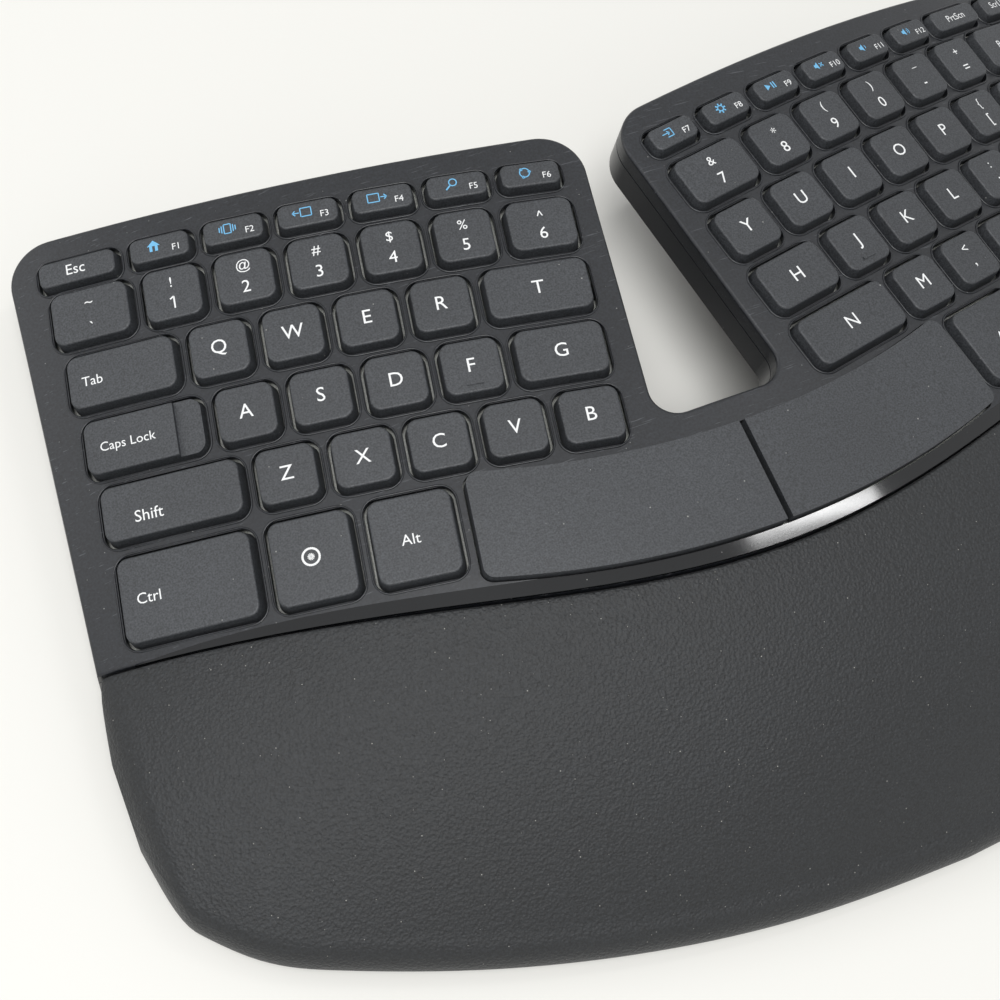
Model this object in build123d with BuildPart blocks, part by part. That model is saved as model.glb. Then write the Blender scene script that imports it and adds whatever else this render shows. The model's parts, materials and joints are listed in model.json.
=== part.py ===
# A split, domed keyboard with a cut-out between its halves and a padded palm rest.
# Millimetres. X runs to the right, Y to the rear and Z up. The origin lies on the table,
# under the middle of the keyboard's box.
from build123d import *
from math import asin, cos, degrees, radians, sin, sqrt
import os

os.makedirs("parts", exist_ok=True)

# The dome: every shell is a layer of one circular cylinder whose axis runs front to rear
CREST_HEIGHT = 55.0
DOME_RADIUS = 485.0
CREST_FROM_SPLIT = 21.0

# The plan: places are measured from the split between the two halves
SPLIT_X = -27.5
PLAN_Y = -14.6
MIDDLE_FROM_SPLIT = -SPLIT_X

# The two halves: rows turned about the split, keys on a regular pitch
HALF_TURN = 11.17
HALF_X = 119.65
HALF_Y = 98.9
KEY_PITCH = 19.0
KEY_WIDTH = 14.6
KEY_DEPTH = 14.0
KEY_SPACE = KEY_PITCH - KEY_WIDTH
INNER_EDGE = 104.9
NUMBER_ROW = 0.0
UPPER_ROW = -18.1
HOME_ROW = -36.3
SHIFT_ROW = -54.5
FUNCTION_ROW = 13.5
FUNCTION_LEAN = 0.0145
FUNCTION_DEPTH = 6.6
BOTTOM_ROW_HIGH = -66.3
BOTTOM_ROW_LOW = -87.6
OUTER_EDGE = -32.0
OUTER_STEP = 2.05

# Key caps
CAP_HEIGHT = 4.8
CAP_TAPER = 0.7
CAP_CORNER = 2.8
CAP_WALL = 1.2
CAP_CEILING = 1.3
CAP_EDGE = 0.55
KEY_TRAVEL = 2.0
KEY_CLEARANCE = 0.5
HOMING_BAR = (4.2, 0.8, 0.35)
LEDGE_WIDTH = 6.4
LEDGE_DROP = 1.5

# Layers below the key tops, each a depth along the dome's normal
FRAME_DEPTH = 2.3
FRAME_WALL = 2.0
TOP_SKIRT = 5.2
SEAM_GAP = 0.4
MEMBRANE_DEPTH = 7.2
MEMBRANE_THICKNESS = 0.4
PLATE_THICKNESS = 0.8
ARCH_DEPTH = 16.0
ARCH_RADIUS = 348.0

# Case
CASE_WALL = 2.0
CASE_CORNER = 11.0
CUTOUT_REAR_CORNER = 12.0
CUTOUT_FRONT_CORNER = 7.0
CUTOUT_FRONT = 19.9
CUTOUT_HALF_WIDTH = 19.05
CUTOUT_TAPER = 0.1741
FLOOR_HEIGHT = 2.5
EDGE_ROUND = 1.0
TRIM_WIDTH = 4.2
TRIM_THICKNESS = 1.1
TRIM_REACH = 158.0
FIT_GAP = 0.3

# Palm rest
PAD_THICKNESS = 5.0
PAD_DEPTH = 2.7
PAD_CROWN = 0.065
PAD_FRONT_HEIGHT = 14.5
PAD_HEM_HEIGHT = 5.2
PAD_ROLL = 7.0
PALM_WALL = 2.2

# Inside
SCREW_POST_RADIUS = 2.2
SCREW_RADIUS = 1.0
SCREW_HEAD_RADIUS = 2.0
SCREW_HEAD_HEIGHT = 1.4
SCREW_LENGTH = 7.0
BATTERY_RADIUS = 5.25
BATTERY_LENGTH = 44.5
FOOT_LENGTH = 16.0
FOOT_WIDTH = 6.0
EVERYTHING = 600.0

# Where the palm rest meets the case: distance from the split, place front to rear
SEAM_HALF = [(45.0, -14.8), (85.0, -4.4), (125.0, 6.2), (165.0, 14.6)]
SEAM_FRONT = -20.0
SEAM_RIGHT = (220.0, 25.8)
SEAM_END_SLOPE = 0.2


def spot(x, y):
    """A plan point from its place beside the split."""
    return (SPLIT_X + x, PLAN_Y + y)


def dome_height(x, depth):
    """Height of a layer of the dome at a distance x from the split."""
    radius = DOME_RADIUS - depth
    across = x - CREST_FROM_SPLIT
    return CREST_HEIGHT - DOME_RADIUS + sqrt(radius**2 - across**2)


def dome_plane(half, u, v, depth=0.0):
    """Plane on a layer of the dome at place u, v of one half: -1 is the left one, 1 the right one."""
    turn = radians(half * HALF_TURN)
    flat_x = half * HALF_X + u * cos(turn) - v * sin(turn)
    flat_y = HALF_Y + u * sin(turn) + v * cos(turn)
    lean = (flat_x - CREST_FROM_SPLIT) / DOME_RADIUS
    radius = DOME_RADIUS - depth
    origin = (
        SPLIT_X + CREST_FROM_SPLIT + radius * sin(lean),
        PLAN_Y + flat_y,
        CREST_HEIGHT - DOME_RADIUS + radius * cos(lean),
    )
    along = (cos(turn) * cos(lean), sin(turn), -cos(turn) * sin(lean))
    return Plane(origin, x_dir=along, z_dir=(sin(lean), 0, cos(lean)))


def dome_layer(upper, lower):
    """A slab of the dome between two depths, wider than the keyboard."""
    with BuildPart() as layer:
        with BuildSketch(Plane.XZ) as ring:
            with Locations((SPLIT_X + CREST_FROM_SPLIT, CREST_HEIGHT - DOME_RADIUS)):
                Circle(DOME_RADIUS - upper)
                Circle(DOME_RADIUS - lower, mode=Mode.SUBTRACT)
        extrude(amount=EVERYTHING / 2, both=True)
        with BuildSketch(Plane.XY):
            Rectangle(EVERYTHING, EVERYTHING)
        extrude(amount=EVERYTHING, mode=Mode.INTERSECT)
    return layer.part


def dome_core(depth):
    """Everything below one layer of the dome."""
    with BuildPart() as core:
        with BuildSketch(Plane.XZ):
            with Locations((SPLIT_X + CREST_FROM_SPLIT, CREST_HEIGHT - DOME_RADIUS)):
                Circle(DOME_RADIUS - depth)
        extrude(amount=EVERYTHING / 2, both=True)
        with BuildSketch(Plane.XY):
            Rectangle(EVERYTHING, EVERYTHING)
        extrude(amount=EVERYTHING, mode=Mode.INTERSECT)
    return core.part


def seam_points(shift=0.0):
    """Points of the seam from left to right, moved to the rear by shift."""
    left = [spot(-x, y + shift) for x, y in reversed(SEAM_HALF)]
    right = [spot(x, y + shift) for x, y in SEAM_HALF]
    return left + [spot(0, SEAM_FRONT + shift)] + right + [spot(SEAM_RIGHT[0], SEAM_RIGHT[1] + shift)]


def seam_y(x):
    """The seam's place at a distance x from the split, straight between its points."""
    points = [(-a, b) for a, b in reversed(SEAM_HALF)] + [(0.0, SEAM_FRONT)] + SEAM_HALF + [SEAM_RIGHT]
    if x <= points[0][0]:
        return points[0][1]
    for (xa, ya), (xb, yb) in zip(points, points[1:]):
        if x <= xb:
            return ya + (yb - ya) * (x - xa) / (xb - xa)
    return points[-1][1]


# Plan of the case: the seam in front, a bowed left and right end and two rear edges
REAR_MIDDLE = 103.5
REAR_LEFT = ((-80.0, 117.4), (-153.3, 131.4))
REAR_RIGHT = ((110.0, 123.1), (208.3, 135.6))
LEFT_END_BOW = (-160.0, 63.0)
RIGHT_END_BOW = (2 * MIDDLE_FROM_SPLIT + 160.0, 66.0)


def case_plan(inset=0.0):
    """Outline of the keyed part of the keyboard with its cut-out, drawn in by inset."""
    end_rise = inset * (1 - SEAM_END_SLOPE)
    seam = [spot(inset - SEAM_HALF[-1][0], SEAM_HALF[-1][1] + end_rise)]
    seam += seam_points(inset)[1:-1]
    seam += [spot(SEAM_RIGHT[0] - inset, SEAM_RIGHT[1] + end_rise)]
    rear_left, rear_middle, rear_right = (
        spot(REAR_LEFT[1][0] + inset, REAR_LEFT[1][1] - inset),
        spot(0, REAR_MIDDLE - inset),
        spot(REAR_RIGHT[1][0] - inset, REAR_RIGHT[1][1] - inset),
    )
    with BuildSketch() as plan:
        with BuildLine():
            front = Spline(*seam)
            ThreePointArc(front @ 1, spot(RIGHT_END_BOW[0] - inset, RIGHT_END_BOW[1]), rear_right)
            ThreePointArc(rear_right, spot(REAR_RIGHT[0][0], REAR_RIGHT[0][1] - inset), rear_middle)
            ThreePointArc(rear_middle, spot(REAR_LEFT[0][0], REAR_LEFT[0][1] - inset), rear_left)
            ThreePointArc(rear_left, spot(LEFT_END_BOW[0] + inset, LEFT_END_BOW[1]), front @ 0)
        make_face()
        rear_corners = plan.vertices().filter_by(
            lambda p: min(abs(p.Y - rear_left[1]), abs(p.Y - rear_right[1])) < 1
        )
        fillet(rear_corners, CASE_CORNER - inset)
        with BuildSketch(mode=Mode.PRIVATE) as gap:
            with BuildLine():
                half_width = CUTOUT_HALF_WIDTH + inset
                Polyline(
                    spot(-half_width, CUTOUT_FRONT - inset),
                    spot(half_width, CUTOUT_FRONT - inset),
                    spot(half_width - CUTOUT_TAPER * 100, CUTOUT_FRONT + 100),
                    spot(-half_width + CUTOUT_TAPER * 100, CUTOUT_FRONT + 100),
                    close=True,
                )
            make_face()
            fillet(gap.vertices().group_by(Axis.Y)[0], CUTOUT_FRONT_CORNER + inset)
        add(gap.sketch, mode=Mode.SUBTRACT)
        inner = plan.vertices().filter_by(
            lambda p: abs(p.X - SPLIT_X) < half_width and p.Y - PLAN_Y > CUTOUT_FRONT + 60
        )
        fillet(inner, CUTOUT_REAR_CORNER - inset)
    return plan.sketch


# Keys: node, half, left and right edge, front and rear edge of the top face
keys = []


def add_key(node, half, left, right, row, depth=KEY_DEPTH):
    """Note one key whose top face is centred on a row."""
    keys.append((node, half, left, right, row - depth / 2, row + depth / 2))


LEFT_ROWS = (
    (NUMBER_ROW, 0.0, ("number_keys_left",) * 5, "number_keys_left", "number_keys_left"),
    (UPPER_ROW, 9.6, ("key_q", "key_w", "key_e", "key_r"), "key_t", "tab_key"),
    (HOME_ROW, 13.7, ("key_a", "key_s", "key_d", "key_f"), "key_g", "caps_lock_key"),
    (SHIFT_ROW, 21.1, ("key_z", "key_x", "key_c", "key_v"), "key_b", "left_shift_key"),
)
RIGHT_ROWS = (
    (NUMBER_ROW, -72.6, ("number_keys_right",) * 5, "number_keys_right", "number_keys_right"),
    (
        UPPER_ROW,
        -79.0,
        ("key_u", "key_i", "key_o", "key_p", "right_edge_keys", "right_edge_keys"),
        "key_y",
        "right_edge_keys",
    ),
    (
        HOME_ROW,
        -73.2,
        ("key_j", "key_k", "key_l", "right_edge_keys", "right_edge_keys"),
        "key_h",
        "right_edge_keys",
    ),
    (SHIFT_ROW, -64.0, ("key_m",) + ("right_edge_keys",) * 3, "key_n", "right_edge_keys"),
)
RIGHT_INNER_EDGE = -105.6
RIGHT_OUTER_EDGE = 46.0
HALF_KEY = KEY_WIDTH / 2

for step, (row, first, names, inner, outer) in enumerate(LEFT_ROWS):
    for place, node in enumerate(names):
        centre = first + place * KEY_PITCH
        add_key(node, -1, centre - HALF_KEY, centre + HALF_KEY, row)
    add_key(inner, -1, first + len(names) * KEY_PITCH - HALF_KEY, INNER_EDGE, row)
    add_key(outer, -1, OUTER_EDGE + step * OUTER_STEP, first - HALF_KEY - KEY_SPACE, row)

for row, first, names, inner, outer in RIGHT_ROWS:
    add_key(inner, 1, RIGHT_INNER_EDGE, first - HALF_KEY - KEY_SPACE, row)
    for place, node in enumerate(names):
        centre = first + place * KEY_PITCH
        add_key(node, 1, centre - HALF_KEY, centre + HALF_KEY, row)
    add_key(outer, 1, first + len(names) * KEY_PITCH - HALF_KEY, RIGHT_OUTER_EDGE, row)

# Function keys are shallower, and their row leans a little towards the split
LEFT_FUNCTION_START = -9.3
LEFT_FUNCTION_PITCH = 19.6
LEFT_FUNCTION_WIDTH = 15.4
RIGHT_FUNCTION_PITCH = 18.3
RIGHT_FUNCTION_WIDTH = 13.9
RIGHT_FUNCTION_ROW = 15.2
RIGHT_FUNCTION_LEAN = 0.0125
add_key(
    "function_keys_left",
    -1,
    OUTER_EDGE - OUTER_STEP,
    LEFT_FUNCTION_START - KEY_SPACE,
    FUNCTION_ROW - 0.3,
    FUNCTION_DEPTH,
)
for place in range(6):
    left = LEFT_FUNCTION_START + place * LEFT_FUNCTION_PITCH
    row = FUNCTION_ROW + FUNCTION_LEAN * place * LEFT_FUNCTION_PITCH
    add_key("function_keys_left", -1, left, left + LEFT_FUNCTION_WIDTH, row, FUNCTION_DEPTH)
function_edges = [
    (RIGHT_INNER_EDGE + place * RIGHT_FUNCTION_PITCH, RIGHT_FUNCTION_WIDTH) for place in range(6)
]
function_edges += [(4.2, 19.8), (28.4, 14.0), (46.8, 14.0)]
for left, width in function_edges:
    row = RIGHT_FUNCTION_ROW - RIGHT_FUNCTION_LEAN * (left - RIGHT_INNER_EDGE)
    add_key("function_keys_right", 1, left, left + width, row, FUNCTION_DEPTH)

# The tall bottom row either side of the space bars
BOTTOM_ROW = (BOTTOM_ROW_HIGH + BOTTOM_ROW_LOW) / 2
BOTTOM_DEPTH = BOTTOM_ROW_HIGH - BOTTOM_ROW_LOW
add_key("left_control_key", -1, -24.2, 9.3, BOTTOM_ROW, BOTTOM_DEPTH)
add_key("left_system_key", -1, 13.9, 33.7, BOTTOM_ROW, BOTTOM_DEPTH)
add_key("left_alt_key", -1, 38.6, 58.9, BOTTOM_ROW, BOTTOM_DEPTH)
add_key("right_modifier_keys", 1, -64.8, -41.0, BOTTOM_ROW, BOTTOM_DEPTH)
add_key("right_modifier_keys", 1, -36.6, -17.0, BOTTOM_ROW, BOTTOM_DEPTH)
add_key("right_modifier_keys", 1, -12.6, 26.6, BOTTOM_ROW, BOTTOM_DEPTH)

# Navigation keys in two columns, and the arrows below them
near_column = RIGHT_OUTER_EDGE + KEY_SPACE + HALF_KEY
far_column = near_column + KEY_PITCH
arrow_row = BOTTOM_ROW_HIGH - KEY_DEPTH / 2
navigation_places = [(near_column, row) for row in (NUMBER_ROW, UPPER_ROW, HOME_ROW)]
navigation_places += [(far_column, row) for row in (NUMBER_ROW, UPPER_ROW, HOME_ROW)]
navigation_places += [(near_column, SHIFT_ROW)]
navigation_places += [(near_column + side * KEY_PITCH, arrow_row) for side in (-1, 0, 1)]
for centre, row in navigation_places:
    add_key("navigation_keys", 1, centre - HALF_KEY, centre + HALF_KEY, row)


def key_plane(key, depth=0.0):
    """Plane at the middle of a key's top face, or on a deeper layer below it."""
    half, left, right, low, high = key[1:]
    return dome_plane(half, (left + right) / 2, (low + high) / 2, depth)


def key_size(key):
    """Width and depth of a key's top face."""
    return key[3] - key[2], key[5] - key[4]


def corner_radius(depth):
    """Corner radius of a key top: shallow keys have smaller corners."""
    return min(CAP_CORNER, 0.3 * depth)


def ceiling_depth(node):
    """Depth of a cap's underside below its top: deeper where the cap has a lower ledge."""
    return CAP_CEILING + (LEDGE_DROP if node == "caps_lock_key" else 0)


def cap_shape(width, depth, ceiling):
    """One hollow key cap, its top face on the XY plane."""
    corner = corner_radius(depth)
    inner = CAP_TAPER - CAP_WALL
    with BuildPart() as cap:
        with BuildSketch(Plane.XY.offset(-CAP_HEIGHT)):
            RectangleRounded(width + 2 * CAP_TAPER, depth + 2 * CAP_TAPER, corner + CAP_TAPER / 2)
        with BuildSketch(Plane.XY):
            RectangleRounded(width, depth, corner)
        loft()
        fillet(cap.faces().sort_by(Axis.Z)[-1].edges(), CAP_EDGE)
        with BuildSketch(Plane.XY.offset(-CAP_HEIGHT)):
            RectangleRounded(width + 2 * inner, depth + 2 * inner, corner)
        with BuildSketch(Plane.XY.offset(-ceiling)):
            RectangleRounded(width - 2 * CAP_WALL, depth - 2 * CAP_WALL, corner - CAP_WALL / 2)
        loft(mode=Mode.SUBTRACT)
    return cap.part


def hole_shape(width, depth):
    """The opening for one key, cut through every layer of the top case."""
    grow = CAP_TAPER + KEY_CLEARANCE
    with BuildPart() as hole:
        with BuildSketch(Plane.XY.offset(-CAP_HEIGHT - KEY_TRAVEL)):
            RectangleRounded(width + 2 * grow, depth + 2 * grow, corner_radius(depth) + CAP_TAPER)
        extrude(amount=2 * CAP_HEIGHT)
    return hole.part


# The space bars fill one bowed opening, split in the middle
SPACE_REAR = 12.6
SPACE_FRONT = -16.1
SPACE_CORNER = 3.4
SPACE_SLIT = 1.6
LEFT_SPACE_EDGE = 62.4
RIGHT_SPACE_EDGE = -68.0


def space_plan(inset=0.0):
    """Outline of the opening for the space bars, drawn in by inset."""

    def corner(half, u, v):
        place = dome_plane(half, u, v, FRAME_DEPTH).origin
        return (place.X, place.Y)

    with BuildSketch() as plan:
        with BuildLine():
            rear_left = corner(-1, LEFT_SPACE_EDGE, -62.9)
            rear_right = corner(1, RIGHT_SPACE_EDGE, -63.3)
            front_left = corner(-1, LEFT_SPACE_EDGE, -91.0)
            front_right = corner(1, RIGHT_SPACE_EDGE, -91.4)
            ThreePointArc(rear_left, spot(0, SPACE_REAR), rear_right)
            Line(rear_right, front_right)
            ThreePointArc(front_right, spot(0, SPACE_FRONT), front_left)
            Line(front_left, rear_left)
        make_face()
        fillet(plan.vertices(), SPACE_CORNER)
        if inset:
            offset(amount=-inset)
    return plan.sketch


def space_bar(side):
    """One space bar: -1 is the left one, 1 the right one. It follows the dome and is hollow below."""
    near = (SPLIT_X + side * SPACE_SLIT / 2, SPLIT_X + side * EVERYTHING / 2)
    middle = (near[0] + near[1]) / 2
    width = abs(near[1] - near[0])
    with BuildPart() as bar:
        add(dome_layer(0.0, CAP_HEIGHT))
        with BuildSketch(Plane.XY):
            add(space_plan(KEY_CLEARANCE))
            with Locations((middle, 0)):
                Rectangle(width, EVERYTHING, mode=Mode.INTERSECT)
        extrude(amount=EVERYTHING, mode=Mode.INTERSECT)
        top = bar.faces().filter_by(GeomType.CYLINDER).sort_by(SortBy.AREA)[-1]
        fillet(top.edges(), CAP_TAPER)
    with BuildPart() as hollow:
        add(dome_layer(CAP_CEILING, CAP_HEIGHT + 1.0))
        with BuildSketch(Plane.XY):
            add(space_plan(KEY_CLEARANCE + CAP_WALL))
            with Locations((middle + side * CAP_WALL, 0)):
                Rectangle(width, EVERYTHING, mode=Mode.INTERSECT)
        extrude(amount=EVERYTHING, mode=Mode.INTERSECT)
    with BuildPart() as bar_shell:
        add(bar.part)
        add(hollow.part, mode=Mode.SUBTRACT)
    return bar_shell.part


def finish(piece, name):
    """Label a finished piece and write it to its own file."""
    piece.label = name
    export_step(piece, f"parts/{name}.step")


# Key caps, one node for each letter and each large key, and one for each group of small ones
for node in dict.fromkeys(key[0] for key in keys):
    with BuildPart() as caps:
        for key in keys:
            if key[0] != node:
                continue
            with Locations(key_plane(key).location):
                add(cap_shape(*key_size(key), ceiling_depth(node)))
            if node in ("key_f", "key_j"):
                bar_place = key_plane(key).offset(HOMING_BAR[2] / 2 - 0.05)
                with Locations(bar_place.location * Location((0, -KEY_DEPTH / 3, 0))):
                    Box(*HOMING_BAR)
            if node == "caps_lock_key":
                ledge_middle = (key_size(key)[0] - LEDGE_WIDTH) / 2
                ledge_place = key_plane(key).location * Location((ledge_middle + CAP_TAPER, 0, 0))
                with Locations(ledge_place):
                    Box(
                        LEDGE_WIDTH + 2 * CAP_TAPER,
                        2 * KEY_DEPTH,
                        2 * LEDGE_DROP,
                        mode=Mode.SUBTRACT,
                    )
    finish(caps.part, node)

space_left = space_bar(-1)
finish(space_left, "space_bar_left")
space_right = space_bar(1)
finish(space_right, "space_bar_right")

# Plates and shells that follow the dome
FRAME_BOTTOM = FRAME_DEPTH + FRAME_WALL
SKIRT_BOTTOM = FRAME_DEPTH + TOP_SKIRT
CASE_TOP = SKIRT_BOTTOM + SEAM_GAP
PLATE_TOP = MEMBRANE_DEPTH + MEMBRANE_THICKNESS
PLATE_BOTTOM = PLATE_TOP + PLATE_THICKNESS
LEDGE = 1.2
PLATE_INSET = CASE_WALL + FIT_GAP
MEMBRANE_INSET = CASE_WALL + LEDGE


def shell_piece(upper, lower, inset):
    """The part of one layer of the dome that lies inside the case's outline, drawn in by inset."""
    with BuildPart() as piece:
        add(dome_layer(upper, lower))
        with BuildSketch(Plane.XY):
            add(case_plan(inset))
        extrude(amount=EVERYTHING, mode=Mode.INTERSECT)
    return piece.part


def arch_height(x):
    """Height of the underside's arch at a distance x from the middle, never below the floor."""
    return max(FLOOR_HEIGHT, CREST_HEIGHT - ARCH_DEPTH - ARCH_RADIUS + sqrt(ARCH_RADIUS**2 - x**2))


def arch_solid(grow):
    """The round tunnel below the case, made larger by grow."""
    with BuildPart() as tunnel:
        with BuildSketch(Plane.XZ):
            with Locations((0, CREST_HEIGHT - ARCH_DEPTH - ARCH_RADIUS)):
                Circle(ARCH_RADIUS + grow)
        extrude(amount=EVERYTHING / 2, both=True)
        with BuildSketch(Plane.XY):
            Rectangle(EVERYTHING, EVERYTHING)
        extrude(amount=EVERYTHING, mode=Mode.INTERSECT)
    return tunnel.part


# Screws stand in tubes of the bottom case and bite into posts of the top case
REAR_SCREWS = [(-129.0, 122.2), (-60.0, 109.5), (60.0, 110.0), (203.6, 112.0)]
SIDE_SCREWS = [(-16.3, 60.0), (16.3, 60.0)]
SCREW_PLACES = REAR_SCREWS + SIDE_SCREWS
TUBE_RADIUS = 4.0
POCKET_RADIUS = SCREW_HEAD_RADIUS + 0.6
POCKET_HEIGHT = 3.0
TUBE_FLOOR = 2.0
SIDE_TUBE_RADIUS = 3.4


def screw_seat(place):
    """Height of the face that a screw's head bears on."""
    return arch_height(place[0] - MIDDLE_FROM_SPLIT) + POCKET_HEIGHT


with BuildPart() as post_block:
    for place in SCREW_PLACES:
        with BuildSketch(Plane.XY.offset(screw_seat(place) + TUBE_FLOOR)):
            with Locations(spot(*place)):
                Circle(SCREW_POST_RADIUS)
                Circle(SCREW_RADIUS, mode=Mode.SUBTRACT)
        extrude(amount=EVERYTHING)
    add(dome_core(FRAME_BOTTOM - FRAME_WALL / 2), mode=Mode.INTERSECT)

with BuildPart() as post_clearance:
    for place in SCREW_PLACES:
        with BuildSketch(Plane.XY):
            with Locations(spot(*place)):
                Circle(SCREW_POST_RADIUS + KEY_CLEARANCE)
        extrude(amount=EVERYTHING)

# Crescent of glossy trim along the seam
with BuildPart() as gloss_trim:
    add(dome_layer(FRAME_DEPTH, FRAME_DEPTH + TRIM_THICKNESS))
    with BuildSketch(Plane.XY):
        with BuildLine():
            half_points = [
                (x, y + TRIM_WIDTH * sqrt(1 - (x / TRIM_REACH) ** 2)) for x, y in SEAM_HALF[:-1]
            ]
            half_points += [(TRIM_REACH, seam_y(TRIM_REACH))]
            rear = [spot(-x, y) for x, y in reversed(half_points)]
            rear += [spot(0, SEAM_FRONT + TRIM_WIDTH)]
            rear += [spot(x, y) for x, y in half_points]
            Spline(*rear)
            Polyline(rear[-1], (rear[-1][0], -HALF_Y), (rear[0][0], -HALF_Y), rear[0])
        make_face()
    extrude(amount=EVERYTHING, mode=Mode.INTERSECT)
    with BuildSketch(Plane.XY):
        add(case_plan())
    extrude(amount=EVERYTHING, mode=Mode.INTERSECT)
    with BuildSketch(Plane.XY):
        add(space_plan())
    extrude(amount=EVERYTHING, mode=Mode.SUBTRACT)

# Slot and sliding switch at the right end of the function row
SLIDER_ROW = 12.6
SLIDER_START = 70.8
SLIDER_TRAVEL = 8.0
SLIDER_SIZE = (9.0, 4.7)
SLIDER_TOP = 1.4
SLIDER_FLANGE = (13.0, 7.6, 1.0)
slider_plane = dome_plane(1, SLIDER_START, SLIDER_ROW)
slot_middle = dome_plane(1, SLIDER_START + SLIDER_TRAVEL / 2, SLIDER_ROW)
with BuildPart() as slot:
    with BuildSketch(slot_middle.offset(-FRAME_BOTTOM - 1)):
        RectangleRounded(
            SLIDER_SIZE[0] + SLIDER_TRAVEL + 2 * KEY_CLEARANCE,
            SLIDER_SIZE[1] + 2 * KEY_CLEARANCE,
            1.2,
        )
    extrude(amount=FRAME_BOTTOM + 2)

with BuildPart() as fn_slider:
    with BuildSketch(slider_plane.offset(-FRAME_BOTTOM - 0.6)):
        RectangleRounded(*SLIDER_SIZE, 0.9)
    extrude(amount=FRAME_BOTTOM + 0.6 - SLIDER_TOP)
    fillet(fn_slider.faces().sort_by(Axis.Z)[-1].edges(), 0.4)
    with Locations(slider_plane.offset(-FRAME_BOTTOM - 0.8).location):
        Box(*SLIDER_FLANGE)

# Top case: a domed frame with a skirt, an opening for every key and posts for the screws
with BuildPart() as skirt_core:
    add(shell_piece(FRAME_BOTTOM, EVERYTHING / 2, CASE_WALL))

with BuildPart() as top_case:
    add(shell_piece(FRAME_DEPTH, SKIRT_BOTTOM, 0))
    round_faces = top_case.faces().filter_by(GeomType.CYLINDER).sort_by(SortBy.AREA)
    outer_rim = round_faces[-2:].sort_by(Axis.Z)[-1]
    fillet(outer_rim.edges(), EDGE_ROUND)
    add(skirt_core.part, mode=Mode.SUBTRACT)
    add(post_block.part)
    openings = [key_plane(key).location * hole_shape(*key_size(key)) for key in keys]
    add(openings, mode=Mode.SUBTRACT)
    with BuildSketch(Plane.XY):
        add(space_plan())
    extrude(amount=EVERYTHING, mode=Mode.SUBTRACT)
    add(slot.part, mode=Mode.SUBTRACT)
    add(gloss_trim.part, mode=Mode.SUBTRACT)
finish(top_case.part, "top_case")
finish(gloss_trim.part, "gloss_trim")
finish(fn_slider.part, "fn_slider")

# Bottom case: walls below the seam, an arched underside, tubes for the screws and board posts
BOARD_SIZE = (60.0, 30.0, 1.6)
BOARD_DEPTH = 12.0
BOARD_PLACE = (38.0, -40.0)
BOARD_POST_RADIUS = 1.8
board_plane = dome_plane(-1, *BOARD_PLACE, BOARD_DEPTH)

with BuildPart() as arch_cavity:
    add(shell_piece(PLATE_BOTTOM, EVERYTHING / 2, CASE_WALL + LEDGE))
    with BuildSketch(Plane.XY):
        Rectangle(EVERYTHING, EVERYTHING)
    extrude(amount=FLOOR_HEIGHT + CASE_WALL, mode=Mode.SUBTRACT)
    add(arch_solid(CASE_WALL), mode=Mode.SUBTRACT)

with BuildPart() as screw_tubes:
    for place in SCREW_PLACES:
        radius = SIDE_TUBE_RADIUS if place in SIDE_SCREWS else TUBE_RADIUS
        with BuildSketch(Plane.XY.offset(FLOOR_HEIGHT)):
            with Locations(spot(*place)):
                Circle(radius)
        extrude(amount=screw_seat(place) + TUBE_FLOOR - FLOOR_HEIGHT)

with BuildPart() as screw_pockets:
    for place in SCREW_PLACES:
        with BuildSketch(Plane.XY):
            with Locations(spot(*place)):
                Circle(POCKET_RADIUS)
        extrude(amount=screw_seat(place))
        with BuildSketch(Plane.XY):
            with Locations(spot(*place)):
                Circle(SCREW_RADIUS)
        extrude(amount=EVERYTHING)

with BuildPart() as post_room:
    for place in SCREW_PLACES:
        with BuildSketch(Plane.XY.offset(screw_seat(place) + TUBE_FLOOR)):
            with Locations(spot(*place)):
                Circle(SCREW_POST_RADIUS + FIT_GAP / 2)
        extrude(amount=EVERYTHING)

with BuildPart() as board_posts:
    post_reach = (BOARD_SIZE[0] / 2 - 3, BOARD_SIZE[1] / 2 - 3)
    with BuildSketch(board_plane.offset(-BOARD_SIZE[2])):
        with GridLocations(2 * post_reach[0], 2 * post_reach[1], 2, 2):
            Circle(BOARD_POST_RADIUS)
    extrude(amount=-CREST_HEIGHT / 4)

with BuildPart() as bottom_case:
    add(shell_piece(CASE_TOP, EVERYTHING / 2, 0))
    with BuildSketch(Plane.XY):
        Rectangle(EVERYTHING, EVERYTHING)
    extrude(amount=FLOOR_HEIGHT, mode=Mode.SUBTRACT)
    add(shell_piece(CASE_TOP - 1, PLATE_BOTTOM, CASE_WALL), mode=Mode.SUBTRACT)
    add(arch_cavity.part, mode=Mode.SUBTRACT)
    add(screw_tubes.part)
    add(board_posts.part)
    add(arch_solid(0), mode=Mode.SUBTRACT)
    add(screw_pockets.part, mode=Mode.SUBTRACT)
    add(post_room.part, mode=Mode.SUBTRACT)
finish(bottom_case.part, "bottom_case")

# Screws, heads down
with BuildPart() as case_screws:
    for place in SCREW_PLACES:
        with BuildSketch(Plane.XY.offset(screw_seat(place) - SCREW_HEAD_HEIGHT)):
            with Locations(spot(*place)):
                Circle(SCREW_HEAD_RADIUS)
        extrude(amount=SCREW_HEAD_HEIGHT)
        with BuildSketch(Plane.XY.offset(screw_seat(place))):
            with Locations(spot(*place)):
                Circle(SCREW_RADIUS)
        extrude(amount=SCREW_LENGTH)
        with BuildSketch(Plane.XY.offset(screw_seat(place) - SCREW_HEAD_HEIGHT)):
            with Locations(spot(*place)):
                Rectangle(2.4, 0.6)
                Rectangle(0.6, 2.4)
        extrude(amount=SCREW_HEAD_HEIGHT / 2, mode=Mode.SUBTRACT)
finish(case_screws.part, "case_screws")

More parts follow.
